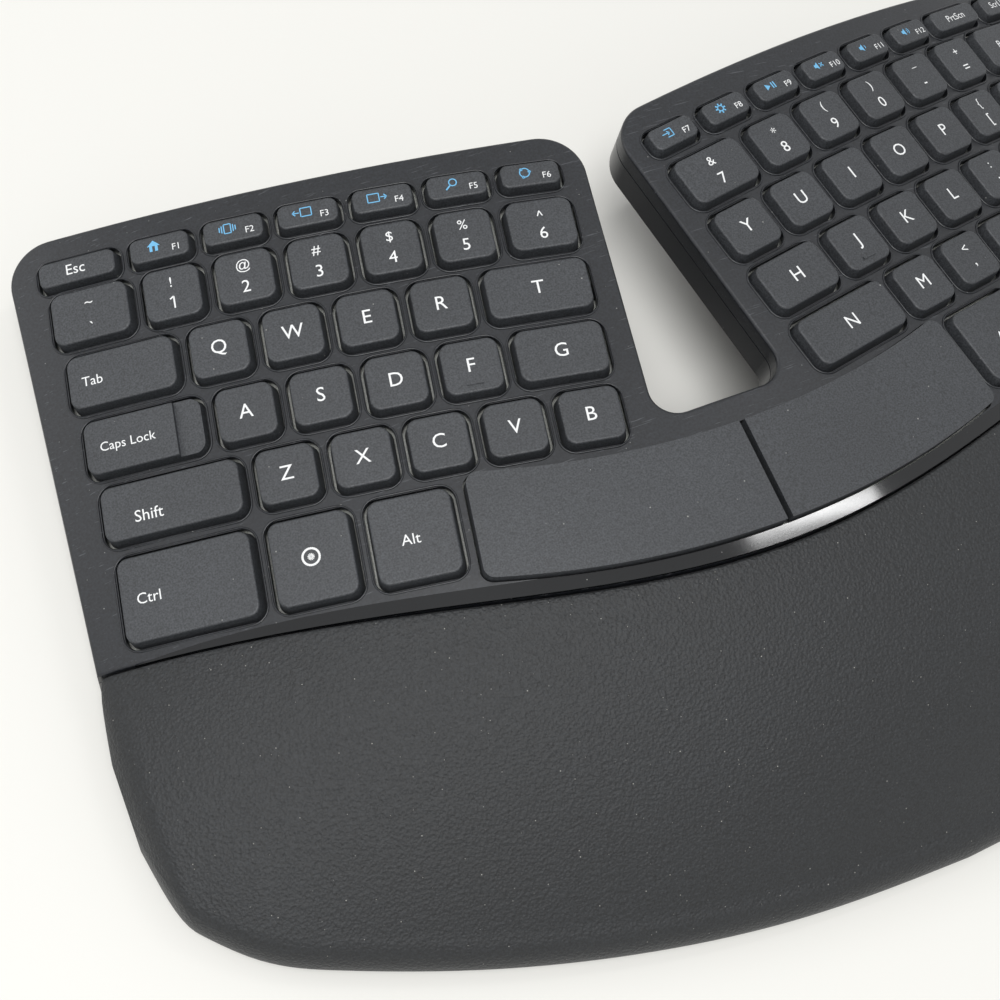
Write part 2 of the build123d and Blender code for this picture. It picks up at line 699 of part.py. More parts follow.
# Steel plate on the ledge of the bottom case, and the switch sheet on top of it
with BuildPart() as key_plate:
    add(shell_piece(PLATE_TOP, PLATE_BOTTOM, PLATE_INSET))
    add(post_clearance.part, mode=Mode.SUBTRACT)
finish(key_plate.part, "key_plate")

with BuildPart() as membrane:
    add(shell_piece(MEMBRANE_DEPTH, PLATE_TOP, MEMBRANE_INSET))
    add(post_clearance.part, mode=Mode.SUBTRACT)
finish(membrane.part, "membrane")

# Rubber domes, one below each cap
DOME_BASE_RADIUS = 3.0
DOME_TOP_RADIUS = 1.6
SMALL_DOME = 0.55
SPACE_DOME_PLACE = (95.0, -79.0)
with BuildPart() as rubber_domes:
    for node, scale in (("full", 1.0), ("small", SMALL_DOME)):
        shallow = scale < 1
        chosen = [key for key in keys if (key_size(key)[1] < KEY_DEPTH - 1) == shallow]
        chosen = [key for key in chosen if key[0] != "caps_lock_key"]
        places = [key_plane(key, MEMBRANE_DEPTH).location for key in chosen]
        if not shallow:
            places += [
                dome_plane(side, -side * SPACE_DOME_PLACE[0], SPACE_DOME_PLACE[1], MEMBRANE_DEPTH).location
                for side in (-1, 1)
            ]
        with Locations(*places):
            Cone(
                DOME_BASE_RADIUS * scale,
                DOME_TOP_RADIUS * scale,
                MEMBRANE_DEPTH - CAP_CEILING,
                align=(Align.CENTER, Align.CENTER, Align.MIN),
            )
    for key in keys:
        if key[0] == "caps_lock_key":
            with Locations(key_plane(key, MEMBRANE_DEPTH).location):
                Cone(
                    DOME_BASE_RADIUS,
                    DOME_TOP_RADIUS,
                    MEMBRANE_DEPTH - ceiling_depth(key[0]),
                    align=(Align.CENTER, Align.CENTER, Align.MIN),
                )
finish(rubber_domes.part, "rubber_domes")

# Scissor links: two rings crossing under every full-size cap
LINK_LENGTH = 10.0
LINK_BAR = 1.1
LINK_THICKNESS = 0.9
OUTER_LINK_WIDTH = 11.6
INNER_LINK_WIDTH = 8.6
LINK_DROP = 3.0
link_turn = degrees(asin(LINK_DROP / LINK_LENGTH))
link_middle = MEMBRANE_DEPTH - LINK_THICKNESS / 2 - LINK_DROP / 2 - 0.3
link_keys = [key for key in keys if key_size(key)[1] > KEY_DEPTH - 1]
with BuildPart() as link_pair:
    for width, turn in ((OUTER_LINK_WIDTH, link_turn), (INNER_LINK_WIDTH, -link_turn)):
        with Locations(Location((0, 0, 0), (turn, 0, 0))):
            Box(width, LINK_LENGTH, LINK_THICKNESS)
        with Locations(Location((0, 0, 0), (turn, 0, 0))):
            Box(
                width - 2 * LINK_BAR,
                LINK_LENGTH - 2 * LINK_BAR,
                2 * LINK_THICKNESS,
                mode=Mode.SUBTRACT,
            )
with BuildPart() as scissor_links:
    with Locations(*[key_plane(key, link_middle).location for key in link_keys]):
        add(link_pair.part)
finish(scissor_links.part, "scissor_links")

# Stabiliser wires of the wide caps: a rod with two arms that hook into the cap
WIRE_RADIUS = 0.5
WIRE_DEPTH = 5.0
WIRE_ARM = 2.0
WIRE_INSET = 1.7
WIDE_KEY = 25.0
SPACE_WIRE = 38.0
SPACE_WIRE_DEPTH = 3.9


def wire(length):
    """One stabiliser wire with its rod along X."""
    with BuildPart() as bent:
        with Locations(Location((0, 0, 0), (0, 90, 0))):
            Cylinder(WIRE_RADIUS, length + 2 * WIRE_RADIUS)
        with Locations((-length / 2, 0, WIRE_ARM / 2), (length / 2, 0, WIRE_ARM / 2)):
            Cylinder(WIRE_RADIUS, WIRE_ARM)
    return bent.part


wires = []
for key in keys:
    width, depth = key_size(key)
    if width > WIDE_KEY:
        back = Location((0, -depth / 2 + WIRE_INSET, 0))
        wires.append(key_plane(key, WIRE_DEPTH).location * back * wire(width - 9))
for side in (-1, 1):
    middle = dome_plane(side, -side * SPACE_DOME_PLACE[0], SPACE_DOME_PLACE[1], SPACE_WIRE_DEPTH)
    wires.append(middle.location * Location((0, -KEY_DEPTH / 2, 0)) * wire(SPACE_WIRE))
with BuildPart() as stabiliser_bars:
    add(wires)
finish(stabiliser_bars.part, "stabiliser_bars")

# Circuit board on its posts, with its chips and plugs
with BuildPart() as circuit_board:
    with BuildSketch(board_plane.offset(-BOARD_SIZE[2])):
        RectangleRounded(BOARD_SIZE[0], BOARD_SIZE[1], 1.5)
    extrude(amount=BOARD_SIZE[2])
finish(circuit_board.part, "circuit_board")

BOARD_PARTS = (
    (-16.0, 2.0, 9.0, 9.0, 1.0),
    (2.0, 6.0, 5.0, 6.0, 1.2),
    (2.0, -7.0, 7.0, 3.6, 0.9),
    (18.0, -10.0, 14.0, 4.0, 1.8),
    (19.0, 6.0, 10.0, 12.0, 1.5),
)
with BuildPart() as board_parts:
    for across, up, width, depth, height in BOARD_PARTS:
        with BuildSketch(board_plane):
            with Locations((across, up)):
                Rectangle(width, depth)
        extrude(amount=height)
finish(board_parts.part, "board_parts")

# Palm rest: half widths with the place of the front edge, the rear edge and its drop below the dome
PALM_STATIONS = (
    (0.0, -105.3, -14.0, 0.0),
    (47.5, -102.4, -10.0, 0.0),
    (92.5, -94.2, 1.0, 0.0),
    (132.5, -82.1, 11.0, 0.0),
    (162.5, -69.9, 17.0, 0.0),
    (179.5, -60.0, 18.0, 0.0),
    (188.5, -51.0, 16.0, 0.4),
    (193.5, -39.5, 8.0, 1.4),
    (195.7, -27.0, -6.0, 2.4),
)
PALM_LEAST = 0.7


def palm_section(across, front, rear, drop, inset, bottom):
    """Upright section of the palm rest at one distance from the middle."""
    half_width = PALM_STATIONS[-1][0]
    x = across * (half_width - inset) / half_width
    rear_height = dome_height(across + MIDDLE_FROM_SPLIT, PAD_DEPTH) - drop - inset
    front_height = min(PAD_FRONT_HEIGHT - inset, rear_height - PALM_LEAST)
    front_height = max(front_height, bottom + PALM_LEAST)
    rear_height = max(rear_height, front_height + PALM_LEAST / 2)
    hem = (PLAN_Y + front + inset, bottom)
    shoulder = (PLAN_Y + front + PAD_ROLL + inset / 2, front_height)
    back = (PLAN_Y + rear, rear_height)
    span = (back[0] - shoulder[0], back[1] - shoulder[1])
    crown = (
        (back[0] + shoulder[0]) / 2 - PAD_CROWN * span[1],
        (back[1] + shoulder[1]) / 2 + PAD_CROWN * span[0],
    )
    roll = (
        hem[0] + 0.28 * (shoulder[0] - hem[0]),
        hem[1] + 0.62 * (shoulder[1] - hem[1]),
    )
    with BuildSketch(Plane.YZ.offset(x)) as section:
        with BuildLine():
            ThreePointArc(back, crown, shoulder)
            ThreePointArc(shoulder, roll, hem)
            Polyline(hem, (back[0], bottom), back)
        make_face()
    return section.sketch


def palm_solid(inset, bottom, count):
    """A body below the palm rest's surface, using the given number of stations on each side."""
    chosen = PALM_STATIONS[:count]
    mirrored = [(-a, b, c, d) for a, b, c, d in reversed(chosen[1:])]
    sections = [palm_section(*station, inset, bottom) for station in mirrored + list(chosen)]
    with BuildPart() as body:
        add(sections)
        loft()
    return body.part


def behind_seam(gap):
    """Everything behind the seam, starting a gap in front of it."""
    seam = [spot(-SEAM_HALF[-1][0] - gap, SEAM_HALF[-1][1] - gap * (1 - SEAM_END_SLOPE))]
    seam += seam_points(-gap)[1:-1]
    seam += [spot(SEAM_RIGHT[0] + gap, SEAM_RIGHT[1] - gap * (1 - SEAM_END_SLOPE))]
    with BuildPart() as region:
        with BuildSketch(Plane.XY):
            with BuildLine():
                Spline(*seam)
                Polyline(seam[-1], (seam[-1][0], EVERYTHING / 4), (seam[0][0], EVERYTHING / 4), seam[0])
            make_face()
        extrude(amount=EVERYTHING / 4)
    return region.part


case_clearance = behind_seam(FIT_GAP)

with BuildPart() as palm_pad:
    add(palm_solid(0.0, PAD_HEM_HEIGHT, 9))
    add(case_clearance, mode=Mode.SUBTRACT)
    add(palm_solid(PAD_THICKNESS, PAD_HEM_HEIGHT - PAD_THICKNESS, 7), mode=Mode.SUBTRACT)
finish(palm_pad.part, "palm_pad")

# Rigid base of the palm rest with its battery bay
BASE_INSET = PAD_THICKNESS + 2 * FIT_GAP
BAY_FRONT = -82.0
BAY_REAR = -53.0
BAY_HALF_WIDTH = 22.0
RIB_THICKNESS = 2.0
RIB_HEIGHT = 18.0
CONTACT_THICKNESS = 0.5
FLOOR_TOP = FLOOR_HEIGHT + PALM_WALL
rib_place = BATTERY_LENGTH / 2 + CONTACT_THICKNESS + RIB_THICKNESS / 2

with BuildPart() as base_cavity:
    add(palm_solid(BASE_INSET + PALM_WALL, FLOOR_TOP, 6))
    add(behind_seam(FIT_GAP + PALM_WALL), mode=Mode.SUBTRACT)

with BuildPart() as palm_base:
    add(palm_solid(BASE_INSET, FLOOR_HEIGHT, 7))
    add(case_clearance, mode=Mode.SUBTRACT)
    add(base_cavity.part, mode=Mode.SUBTRACT)
    with BuildSketch(Plane.XY.offset(FLOOR_HEIGHT)):
        with Locations(*[(side * rib_place, (BAY_FRONT + BAY_REAR) / 2) for side in (-1, 1)]):
            Rectangle(RIB_THICKNESS, BAY_REAR - BAY_FRONT)
    extrude(amount=RIB_HEIGHT - FLOOR_HEIGHT)
    with BuildSketch(Plane.XY):
        with Locations((0, (BAY_FRONT + BAY_REAR) / 2)):
            RectangleRounded(2 * BAY_HALF_WIDTH, BAY_REAR - BAY_FRONT, 1.5)
    extrude(amount=FLOOR_TOP + 1, mode=Mode.SUBTRACT)
finish(palm_base.part, "palm_base")

# Battery door: slides towards the front until its two tongues leave the floor's edge
DOOR_TRAVEL = 3.0
DOOR_THICKNESS = 1.6
TONGUE = (8.0, 2.0, 1.0)
TONGUE_REACH = 12.0
TONGUE_GAP = 0.2
door_front = BAY_FRONT + DOOR_TRAVEL + FIT_GAP
door_rear = BAY_REAR - FIT_GAP
with BuildPart() as battery_door:
    with BuildSketch(Plane.XY.offset(FLOOR_HEIGHT)):
        with Locations((0, (door_front + door_rear) / 2)):
            RectangleRounded(2 * (BAY_HALF_WIDTH - FIT_GAP), door_rear - door_front, 1.2)
    extrude(amount=DOOR_THICKNESS)
    with BuildSketch(Plane.XY.offset(FLOOR_HEIGHT)):
        with Locations((0, door_front + 5.0)):
            with GridLocations(0, 1.8, 1, 3):
                Rectangle(14.0, 0.8)
    extrude(amount=0.4, mode=Mode.SUBTRACT)
    with BuildSketch(Plane.XY.offset(FLOOR_HEIGHT + DOOR_THICKNESS)):
        with Locations(*[(side * TONGUE_REACH, door_rear - TONGUE[1] / 2) for side in (-1, 1)]):
            Rectangle(TONGUE[0], TONGUE[1])
    extrude(amount=PALM_WALL - DOOR_THICKNESS + TONGUE_GAP + TONGUE[2])
    with BuildSketch(Plane.XY.offset(FLOOR_TOP + TONGUE_GAP)):
        with Locations((-TONGUE_REACH, door_rear), (TONGUE_REACH, door_rear)):
            Rectangle(TONGUE[0], 2 * TONGUE[1])
    extrude(amount=TONGUE[2])
finish(battery_door.part, "battery_door")

# Two cells between their contacts
BATTERY_HEIGHT = FLOOR_TOP + TONGUE_GAP + TONGUE[2] + FIT_GAP + BATTERY_RADIUS
BATTERY_ROWS = ((-60.0, 1), (-72.0, -1))
NUB_RADIUS = 1.9
NUB_LENGTH = 0.8
with BuildPart() as batteries:
    for row, way in BATTERY_ROWS:
        body_middle = -way * NUB_LENGTH / 2
        with Locations(Location((body_middle, row, BATTERY_HEIGHT), (0, 90, 0))):
            Cylinder(BATTERY_RADIUS, BATTERY_LENGTH - NUB_LENGTH)
        nub_middle = way * (BATTERY_LENGTH - NUB_LENGTH) / 2
        with Locations(Location((nub_middle, row, BATTERY_HEIGHT), (0, 90, 0))):
            Cylinder(NUB_RADIUS, NUB_LENGTH)
finish(batteries.part, "batteries")

with BuildPart() as battery_contacts:
    contact_place = (BATTERY_LENGTH + CONTACT_THICKNESS) / 2
    for row, way in BATTERY_ROWS:
        with Locations((-contact_place, row, BATTERY_HEIGHT), (contact_place, row, BATTERY_HEIGHT)):
            Box(CONTACT_THICKNESS, 8.0, 8.0)
finish(battery_contacts.part, "battery_contacts")

# Rubber feet
REAR_FEET = [(-146.0, 105.0), (196.0, 95.0)]
PALM_FEET = [(-128.0, -40.0), (183.0, -40.0), (-32.5, -86.0), (87.5, -86.0)]
with BuildPart() as feet:
    with BuildSketch(Plane.XY):
        with Locations(*[spot(*place) for place in REAR_FEET + PALM_FEET]):
            RectangleRounded(FOOT_LENGTH, FOOT_WIDTH, FOOT_WIDTH / 2 - 0.1)
    extrude(amount=FLOOR_HEIGHT)
finish(feet.part, "feet")
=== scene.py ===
# %% [markdown]
# A split, arched keyboard with a padded palm rest.
# The hard parts come from the imported CAD model, which is already in metres and in place. This script gives
# them their finishes, and adds what Blender makes better: bevelled rims, printed legends, the springs sorted
# by key, the padded rest with its pebbled cover, and the dust and scratches that a used keyboard carries.

# %% Load the frame
import json
import math

import bmesh
import bpy
import numpy as np
from mathutils import Matrix, Vector


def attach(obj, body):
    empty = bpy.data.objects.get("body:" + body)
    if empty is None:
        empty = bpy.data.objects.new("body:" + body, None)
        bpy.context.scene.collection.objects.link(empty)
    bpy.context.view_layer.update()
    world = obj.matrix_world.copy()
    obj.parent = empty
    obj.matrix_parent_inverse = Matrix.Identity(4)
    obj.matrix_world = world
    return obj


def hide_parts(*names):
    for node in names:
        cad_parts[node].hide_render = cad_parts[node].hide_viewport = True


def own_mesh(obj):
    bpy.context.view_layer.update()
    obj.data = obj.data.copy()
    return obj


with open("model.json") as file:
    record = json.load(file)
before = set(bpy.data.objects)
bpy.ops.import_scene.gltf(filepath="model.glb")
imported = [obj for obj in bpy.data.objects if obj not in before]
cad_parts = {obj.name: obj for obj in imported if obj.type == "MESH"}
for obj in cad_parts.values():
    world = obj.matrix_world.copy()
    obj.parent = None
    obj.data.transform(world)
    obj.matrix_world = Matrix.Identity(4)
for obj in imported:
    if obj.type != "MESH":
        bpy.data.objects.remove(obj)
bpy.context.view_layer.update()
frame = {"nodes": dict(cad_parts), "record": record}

MM = 0.001
nodes = frame["nodes"]

# %% [markdown]
# The real keyboard rises from both ends to a crest near its middle, like a shallow dome, and each half is
# turned by about eleven degrees so that the wrists stay straight. Legends and rims could be placed by eye. A
# rule is safer: the numbers below repeat the dome and the turned halves of the CAD model, in millimetres, so
# that a place on a key is a distance along its row, u, and a distance across it, v. CREST is the height of
# the dome's top, which lies CREST_X to the right of the split, and each half is turned about its own origin.

# %% Places on the dome
CREST = 55.0
RADIUS = 485.0
CREST_X = 21.0
SPLIT_X, PLAN_Y = -27.5, -14.6
HALF_TURN = 11.17
HALF_X, HALF_Y = 119.65, 98.9


def dome_frame(half, u, v, lift=0.0):
    """Matrix, in metres, of a place on the dome: x along the row, y across it and z out of the key."""
    turn = math.radians(half * HALF_TURN)
    flat_x = half * HALF_X + u * math.cos(turn) - v * math.sin(turn)
    flat_y = HALF_Y + u * math.sin(turn) + v * math.cos(turn)
    lean = (flat_x - CREST_X) / RADIUS
    reach = RADIUS + lift
    origin = Vector(
        (SPLIT_X + CREST_X + reach * math.sin(lean), PLAN_Y + flat_y, CREST - RADIUS + reach * math.cos(lean))
    )
    along = Vector(
        (math.cos(turn) * math.cos(lean), math.sin(turn), -math.cos(turn) * math.sin(lean))
    )
    out = Vector((math.sin(lean), 0, math.cos(lean)))
    across = out.cross(along)
    turned = Matrix((along, across, out)).transposed().to_4x4()
    return Matrix.Translation(origin * MM) @ turned


def dome_height(x, depth):
    """Height in millimetres of a layer of the dome at a distance x from the split."""
    return CREST - RADIUS + math.sqrt((RADIUS - depth) ** 2 - (x - CREST_X) ** 2)


print("crest of the dome at", CREST, "mm")

# %% [markdown]
# A keyboard's letter rows have one pitch, the distance from key to key, and each row is shifted a little from
# the one above. The key at each end of a row fills what is left. So a row is told by its first regular key
# and its two ends, and the list of all keys comes from a few lines. A function row has a first left edge, a
# pitch, the width of its caps, its place across the half, and how far it leans.

# %% List of the keys
PITCH = 19.0
KEY_WIDTH = 14.6
KEY_DEPTH = 14.0
NUMBER, UPPER, HOME, SHIFT, BOTTOM, ARROWS = 0.0, -18.1, -36.3, -54.5, -76.95, -73.3
LEFT_END = 104.9
RIGHT_START, RIGHT_END = -105.6, 46.0
FIRST_UPPER, FIRST_HOME, FIRST_SHIFT = 9.6, 13.7, 21.1
RIGHT_NUMBER, RIGHT_UPPER, RIGHT_HOME, RIGHT_SHIFT = -72.6, -79.0, -73.2, -64.0
BOTTOM_DEPTH = 21.3
SMALL_DEPTH = 6.6
FUNCTION_ROWS = {-1: (-9.3, 19.6, 15.4, 13.5, 0.0145), 1: (-105.6, 18.3, 13.9, 15.2, -0.0125)}
keys = []


def key_row(half, row, start, first, stop, bodies):
    """A row of regular keys with a wider one at each end. A key is half, left, right, row, depth and body."""
    gap = PITCH - KEY_WIDTH
    middles = [first + k * PITCH for k in range(len(bodies) - 2)]
    edges = [(start, first - KEY_WIDTH / 2 - gap)]
    edges += [(middle - KEY_WIDTH / 2, middle + KEY_WIDTH / 2) for middle in middles]
    edges += [(edges[-1][1] + gap, stop)]
    for (left, right), body in zip(edges, bodies):
        keys.append((half, left, right, row, KEY_DEPTH, body))


def bodies_of(letters, group):
    """Body names of a row: a letter has its own body, and a dot stands for the row's group."""
    return [group if letter == "." else "key_" + letter for letter in letters]


def function_row(half, left):
    """The function row leans against the others. This is its v for a key that starts at left."""
    start, pitch, width, row, lean = FUNCTION_ROWS[half]
    return row + lean * (left - start)


key_row(-1, NUMBER, -32.0, 0.0, LEFT_END, bodies_of(".......", "number_keys_left"))
key_row(-1, UPPER, -29.95, FIRST_UPPER, LEFT_END, bodies_of(".qwert", "tab_key"))
key_row(-1, HOME, -27.9, FIRST_HOME, LEFT_END, bodies_of(".asdfg", "caps_lock_key"))
key_row(-1, SHIFT, -25.85, FIRST_SHIFT, LEFT_END, bodies_of(".zxcvb", "left_shift_key"))
key_row(1, NUMBER, RIGHT_START, RIGHT_NUMBER, RIGHT_END, bodies_of(".......", "number_keys_right"))
key_row(1, UPPER, RIGHT_START, RIGHT_UPPER, RIGHT_END, bodies_of("yuiop...", "right_edge_keys"))
key_row(1, HOME, RIGHT_START, RIGHT_HOME, RIGHT_END, bodies_of("hjkl...", "right_edge_keys"))
key_row(1, SHIFT, RIGHT_START, RIGHT_SHIFT, RIGHT_END, bodies_of("nm....", "right_edge_keys"))
keys.append((-1, -34.05, -13.7, 13.2, SMALL_DEPTH, "function_keys_left"))
for k in range(6):
    for half, body in ((-1, "function_keys_left"), (1, "function_keys_right")):
        start, pitch, width, row, lean = FUNCTION_ROWS[half]
        left = start + pitch * k
        keys.append((half, left, left + width, function_row(half, left), SMALL_DEPTH, body))
for left, right in ((4.2, 24.0), (28.4, 42.4), (46.8, 60.8)):
    keys.append((1, left, right, function_row(1, left), SMALL_DEPTH, "function_keys_right"))
for half, left, right, body in (
    (-1, -24.2, 9.3, "left_control_key"),
    (-1, 13.9, 33.7, "left_system_key"),
    (-1, 38.6, 58.9, "left_alt_key"),
    (1, -64.8, -41.0, "right_modifier_keys"),
    (1, -36.6, -17.0, "right_modifier_keys"),
    (1, -12.6, 26.6, "right_modifier_keys"),
):
    keys.append((half, left, right, BOTTOM, BOTTOM_DEPTH, body))
INNER_COLUMN, OUTER_COLUMN, FIRST_ARROW = 57.7, 76.7, 38.7
navigation_places = [(u, v) for v in (NUMBER, UPPER, HOME) for u in (INNER_COLUMN, OUTER_COLUMN)]
navigation_places += [(INNER_COLUMN, SHIFT)]
navigation_places += [(u, ARROWS) for u in (FIRST_ARROW, INNER_COLUMN, OUTER_COLUMN)]
for u, v in navigation_places:
    keys.append((1, u - KEY_WIDTH / 2, u + KEY_WIDTH / 2, v, KEY_DEPTH, "navigation_keys"))
print("keys in the list", len(keys))

# %% [markdown]
# The camera stands where the photographer's did: above the left palm, looking down and to the right. It
# could be aimed by a constraint, but then its roll would be lost. A camera's own axes are right, up and
# backwards, so its matrix is built from the direction it looks in and that of the picture's right-hand side.

# %% Camera
CAMERA_PLACE = (-171.05, -94.31, 329.72)
LOOK = Vector((0.28942, 0.29371, -0.91103)).normalized()
PICTURE_RIGHT = Vector((0.90801, -0.38543, 0.16420)).normalized()
FOCAL_SHARE = 1.5358
SENSOR = 36.0

camera_data = bpy.data.cameras.new("camera")
camera = bpy.data.objects.new("camera", camera_data)
bpy.context.scene.collection.objects.link(camera)
picture_up = PICTURE_RIGHT.cross(LOOK)
axes = Matrix((PICTURE_RIGHT, picture_up, -LOOK)).transposed().to_4x4()
camera_spot = Vector((SPLIT_X + CAMERA_PLACE[0], PLAN_Y + CAMERA_PLACE[1], CREST + CAMERA_PLACE[2])) * MM
camera.matrix_world = Matrix.Translation(camera_spot) @ axes
camera_data.sensor_width = SENSOR
camera_data.lens = SENSOR * FOCAL_SHARE
camera_data.clip_start = 0.01
bpy.context.scene.camera = camera
print("lens", round(camera_data.lens, 2), "mm")

# %% [markdown]
# Every finish is a small tree of nodes. Colours are written as the hex values that a paint program shows
# and turned into the linear values that the renderer works in. One helper adds a node, sets it and wires it.
# Noise in Blender lies mostly between 0.3 and 0.7, so a pattern is stretched from that range to its own.

# %% Helpers for materials


def linear(code):
    """Linear RGBA of an sRGB hex colour."""
    parts = [int(code[i : i + 2], 16) / 255 for i in (1, 3, 5)]
    return tuple(p / 12.92 if p <= 0.04045 else ((p + 0.055) / 1.055) ** 2.4 for p in parts) + (1.0,)


def add_node(tree, kind, settings=None, inputs=None):
    """Add a node. Settings are its properties; inputs are values, or sockets to link from."""
    node = tree.nodes.new(kind)
    for name, value in (settings or {}).items():
        setattr(node, name, value)
    for name, value in (inputs or {}).items():
        if isinstance(value, bpy.types.NodeSocket):
            tree.links.new(value, node.inputs[name])
        else:
            node.inputs[name].default_value = value
    return node


def new_material(name, base, roughness, ior=1.5):
    """A material with a principled shader and object coordinates."""
    material = bpy.data.materials.new(name)
    material.use_nodes = True
    tree = material.node_tree
    shader = tree.nodes["Principled BSDF"]
    shader.inputs["Base Color"].default_value = linear(base)
    shader.inputs["Roughness"].default_value = roughness
    shader.inputs["IOR"].default_value = ior
    place = add_node(tree, "ShaderNodeTexCoord").outputs["Object"]
    return material, tree, shader, place


def per_metre(millimetres):
    """Scale of a texture whose features are this many millimetres apart."""
    return 1000.0 / millimetres


def spread_noise(tree, source, low, high):
    """Noise stretched to run between two values."""
    inputs = {"Value": source, "From Min": 0.3, "From Max": 0.7, "To Min": low, "To Max": high}
    return add_node(tree, "ShaderNodeMapRange", inputs=inputs).outputs["Result"]


PATCH_SIZE = 45.0


def dusty(tree, shader, place, base, dust, spacing, share, speckle=0.25, fine=0.4):
    """Colour with soft patches, a fine speckle and dust. Dust settles in a share of cells of this spacing."""
    patches = add_node(
        tree, "ShaderNodeTexNoise", inputs={"Vector": place, "Scale": per_metre(PATCH_SIZE), "Detail": 3.0}
    )
    small = add_node(
        tree, "ShaderNodeTexNoise", inputs={"Vector": place, "Scale": per_metre(fine), "Detail": 1.0}
    )
    soft = spread_noise(tree, patches.outputs["Fac"], 0.9, 1.12)
    sharp = spread_noise(tree, small.outputs["Fac"], 1.0 - speckle, 1.0 + speckle)
    tone = add_node(tree, "ShaderNodeMath", {"operation": "MULTIPLY"}, {0: soft, 1: sharp})
    body = add_node(
        tree,
        "ShaderNodeVectorMath",
        {"operation": "SCALE"},
        {0: linear(base)[:3], "Scale": tone.outputs["Value"]},
    )
    cells = add_node(
        tree, "ShaderNodeTexVoronoi", inputs={"Vector": place, "Scale": per_metre(spacing), "Randomness": 1.0}
    )
    chosen = add_node(tree, "ShaderNodeSeparateColor", inputs={"Color": cells.outputs["Color"]})
    reach = add_node(
        tree,
        "ShaderNodeMapRange",
        inputs={"Value": chosen.outputs["Green"], "To Min": 0.05, "To Max": 0.15},
    )
    near = add_node(
        tree,
        "ShaderNodeMapRange",
        inputs={
            "Value": cells.outputs["Distance"],
            "From Min": 0.03,
            "From Max": reach.outputs["Result"],
            "To Min": 1.0,
            "To Max": 0.0,
        },
    )
    some = add_node(tree, "ShaderNodeMath", {"operation": "LESS_THAN"}, {0: chosen.outputs["Red"], 1: share})
    speck = add_node(
        tree,
        "ShaderNodeMath",
        {"operation": "MULTIPLY"},
        {0: near.outputs["Result"], 1: some.outputs["Value"]},
    )
    colour = add_node(
        tree,
        "ShaderNodeMix",
        {"data_type": "RGBA"},
        {"Factor": speck.outputs["Value"], "A": body.outputs["Vector"], "B": linear(dust)},
    )
    tree.links.new(colour.outputs[2], shader.inputs["Base Color"])
    return patches.outputs["Fac"]


def grain(tree, shader, place, size, strength, depth, second=None):
    """Fine moulded or pebbled grain as a bump, optionally over a second coarser one."""
    fine = add_node(
        tree, "ShaderNodeTexNoise", inputs={"Vector": place, "Scale": per_metre(size), "Detail": 2.0}
    )
    height = fine.outputs["Fac"]
    if second is not None:
        height = add_node(
            tree, "ShaderNodeMath", {"operation": "ADD"}, {0: height, 1: second}
        ).outputs["Value"]
    bump = add_node(
        tree, "ShaderNodeBump", inputs={"Height": height, "Strength": strength, "Distance": depth * MM}
    )
    tree.links.new(bump.outputs["Normal"], shader.inputs["Normal"])
    return fine.outputs["Fac"]


def vary_roughness(tree, shader, source, low, high):
    """Roughness that follows a pattern between two values."""
    tree.links.new(spread_noise(tree, source, low, high), shader.inputs["Roughness"])


print("a texture scale of", per_metre(0.5), "puts its features half a millimetre apart")

# %% [markdown]
# Key caps are moulded ABS with a fine spark-eroded grain, which scatters the ceiling light into an even
# grey and leaves only the edges darker. The real grain is about a fifth of a millimetre. That is too fine to
# show in the picture, so it is drawn at half a millimetre. Specks of dust lie on it.

# %% Key plastic
KEY_GREY, PALE_DUST = "#343639", "#9A9A96"
key_plastic, tree, shader, place = new_material("moulded_ABS_key_caps", KEY_GREY, 0.48)
dusty(tree, shader, place, KEY_GREY, PALE_DUST, spacing=1.9, share=0.06, speckle=0.45, fine=0.45)
fine = grain(tree, shader, place, size=0.5, strength=0.6, depth=0.09)
vary_roughness(tree, shader, fine, low=0.46, high=0.58)
print("made", key_plastic.name)

# %% [markdown]
# The frame between the keys is smoother: a semi-gloss moulded shell with hairline scratches from wiping. The
# scratches could be drawn one by one. A stretched noise is enough: its features are 8 mm long and 0.4 mm
# wide, it is turned a little, and only its highest crests are lighter.

# %% Frame plastic
FRAME_BLACK, HAIRLINE_GREY = "#191B1F", "#5A5C60"
HAIRLINE_SCALE = (120.0, 2600.0, 900.0)
HAIRLINE_TURN = 0.7
frame_plastic, tree, shader, place = new_material("semi_gloss_ABS_frame", FRAME_BLACK, 0.36)
dusty(tree, shader, place, FRAME_BLACK, "#8D8D8A", spacing=1.5, share=0.12, speckle=0.45, fine=0.6)
stretched = add_node(
    tree,
    "ShaderNodeMapping",
    inputs={"Vector": place, "Scale": HAIRLINE_SCALE, "Rotation": (0, 0, HAIRLINE_TURN)},
)
hairlines = add_node(
    tree, "ShaderNodeTexNoise", inputs={"Vector": stretched.outputs["Vector"], "Scale": 1.0, "Detail": 2.0}
)
scratches = add_node(
    tree,
    "ShaderNodeMapRange",
    inputs={
        "Value": hairlines.outputs["Fac"],
        "From Min": 0.66,
        "From Max": 0.74,
        "To Min": 0.0,
        "To Max": 0.6,
    },
)
worn = add_node(
    tree,
    "ShaderNodeMix",
    {"data_type": "RGBA"},
    {
        "Factor": scratches.outputs["Result"],
        "A": shader.inputs["Base Color"].links[0].from_socket,
        "B": linear(HAIRLINE_GREY),
    },
)
tree.links.new(worn.outputs[2], shader.inputs["Base Color"])
vary_roughness(tree, shader, hairlines.outputs["Fac"], low=0.33, high=0.42)
grain(tree, shader, place, size=0.5, strength=0.2, depth=0.03)
print("made", frame_plastic.name)

# %% [markdown]
# Between the keys and the palm rest lies a narrow crescent of polished plastic. It mirrors the lamp as a
# bright streak, so its roughness is low and only its soft patches, left by fingers, dull it a little. Its
# bump is wide and very low, because even polished mouldings wave a little.

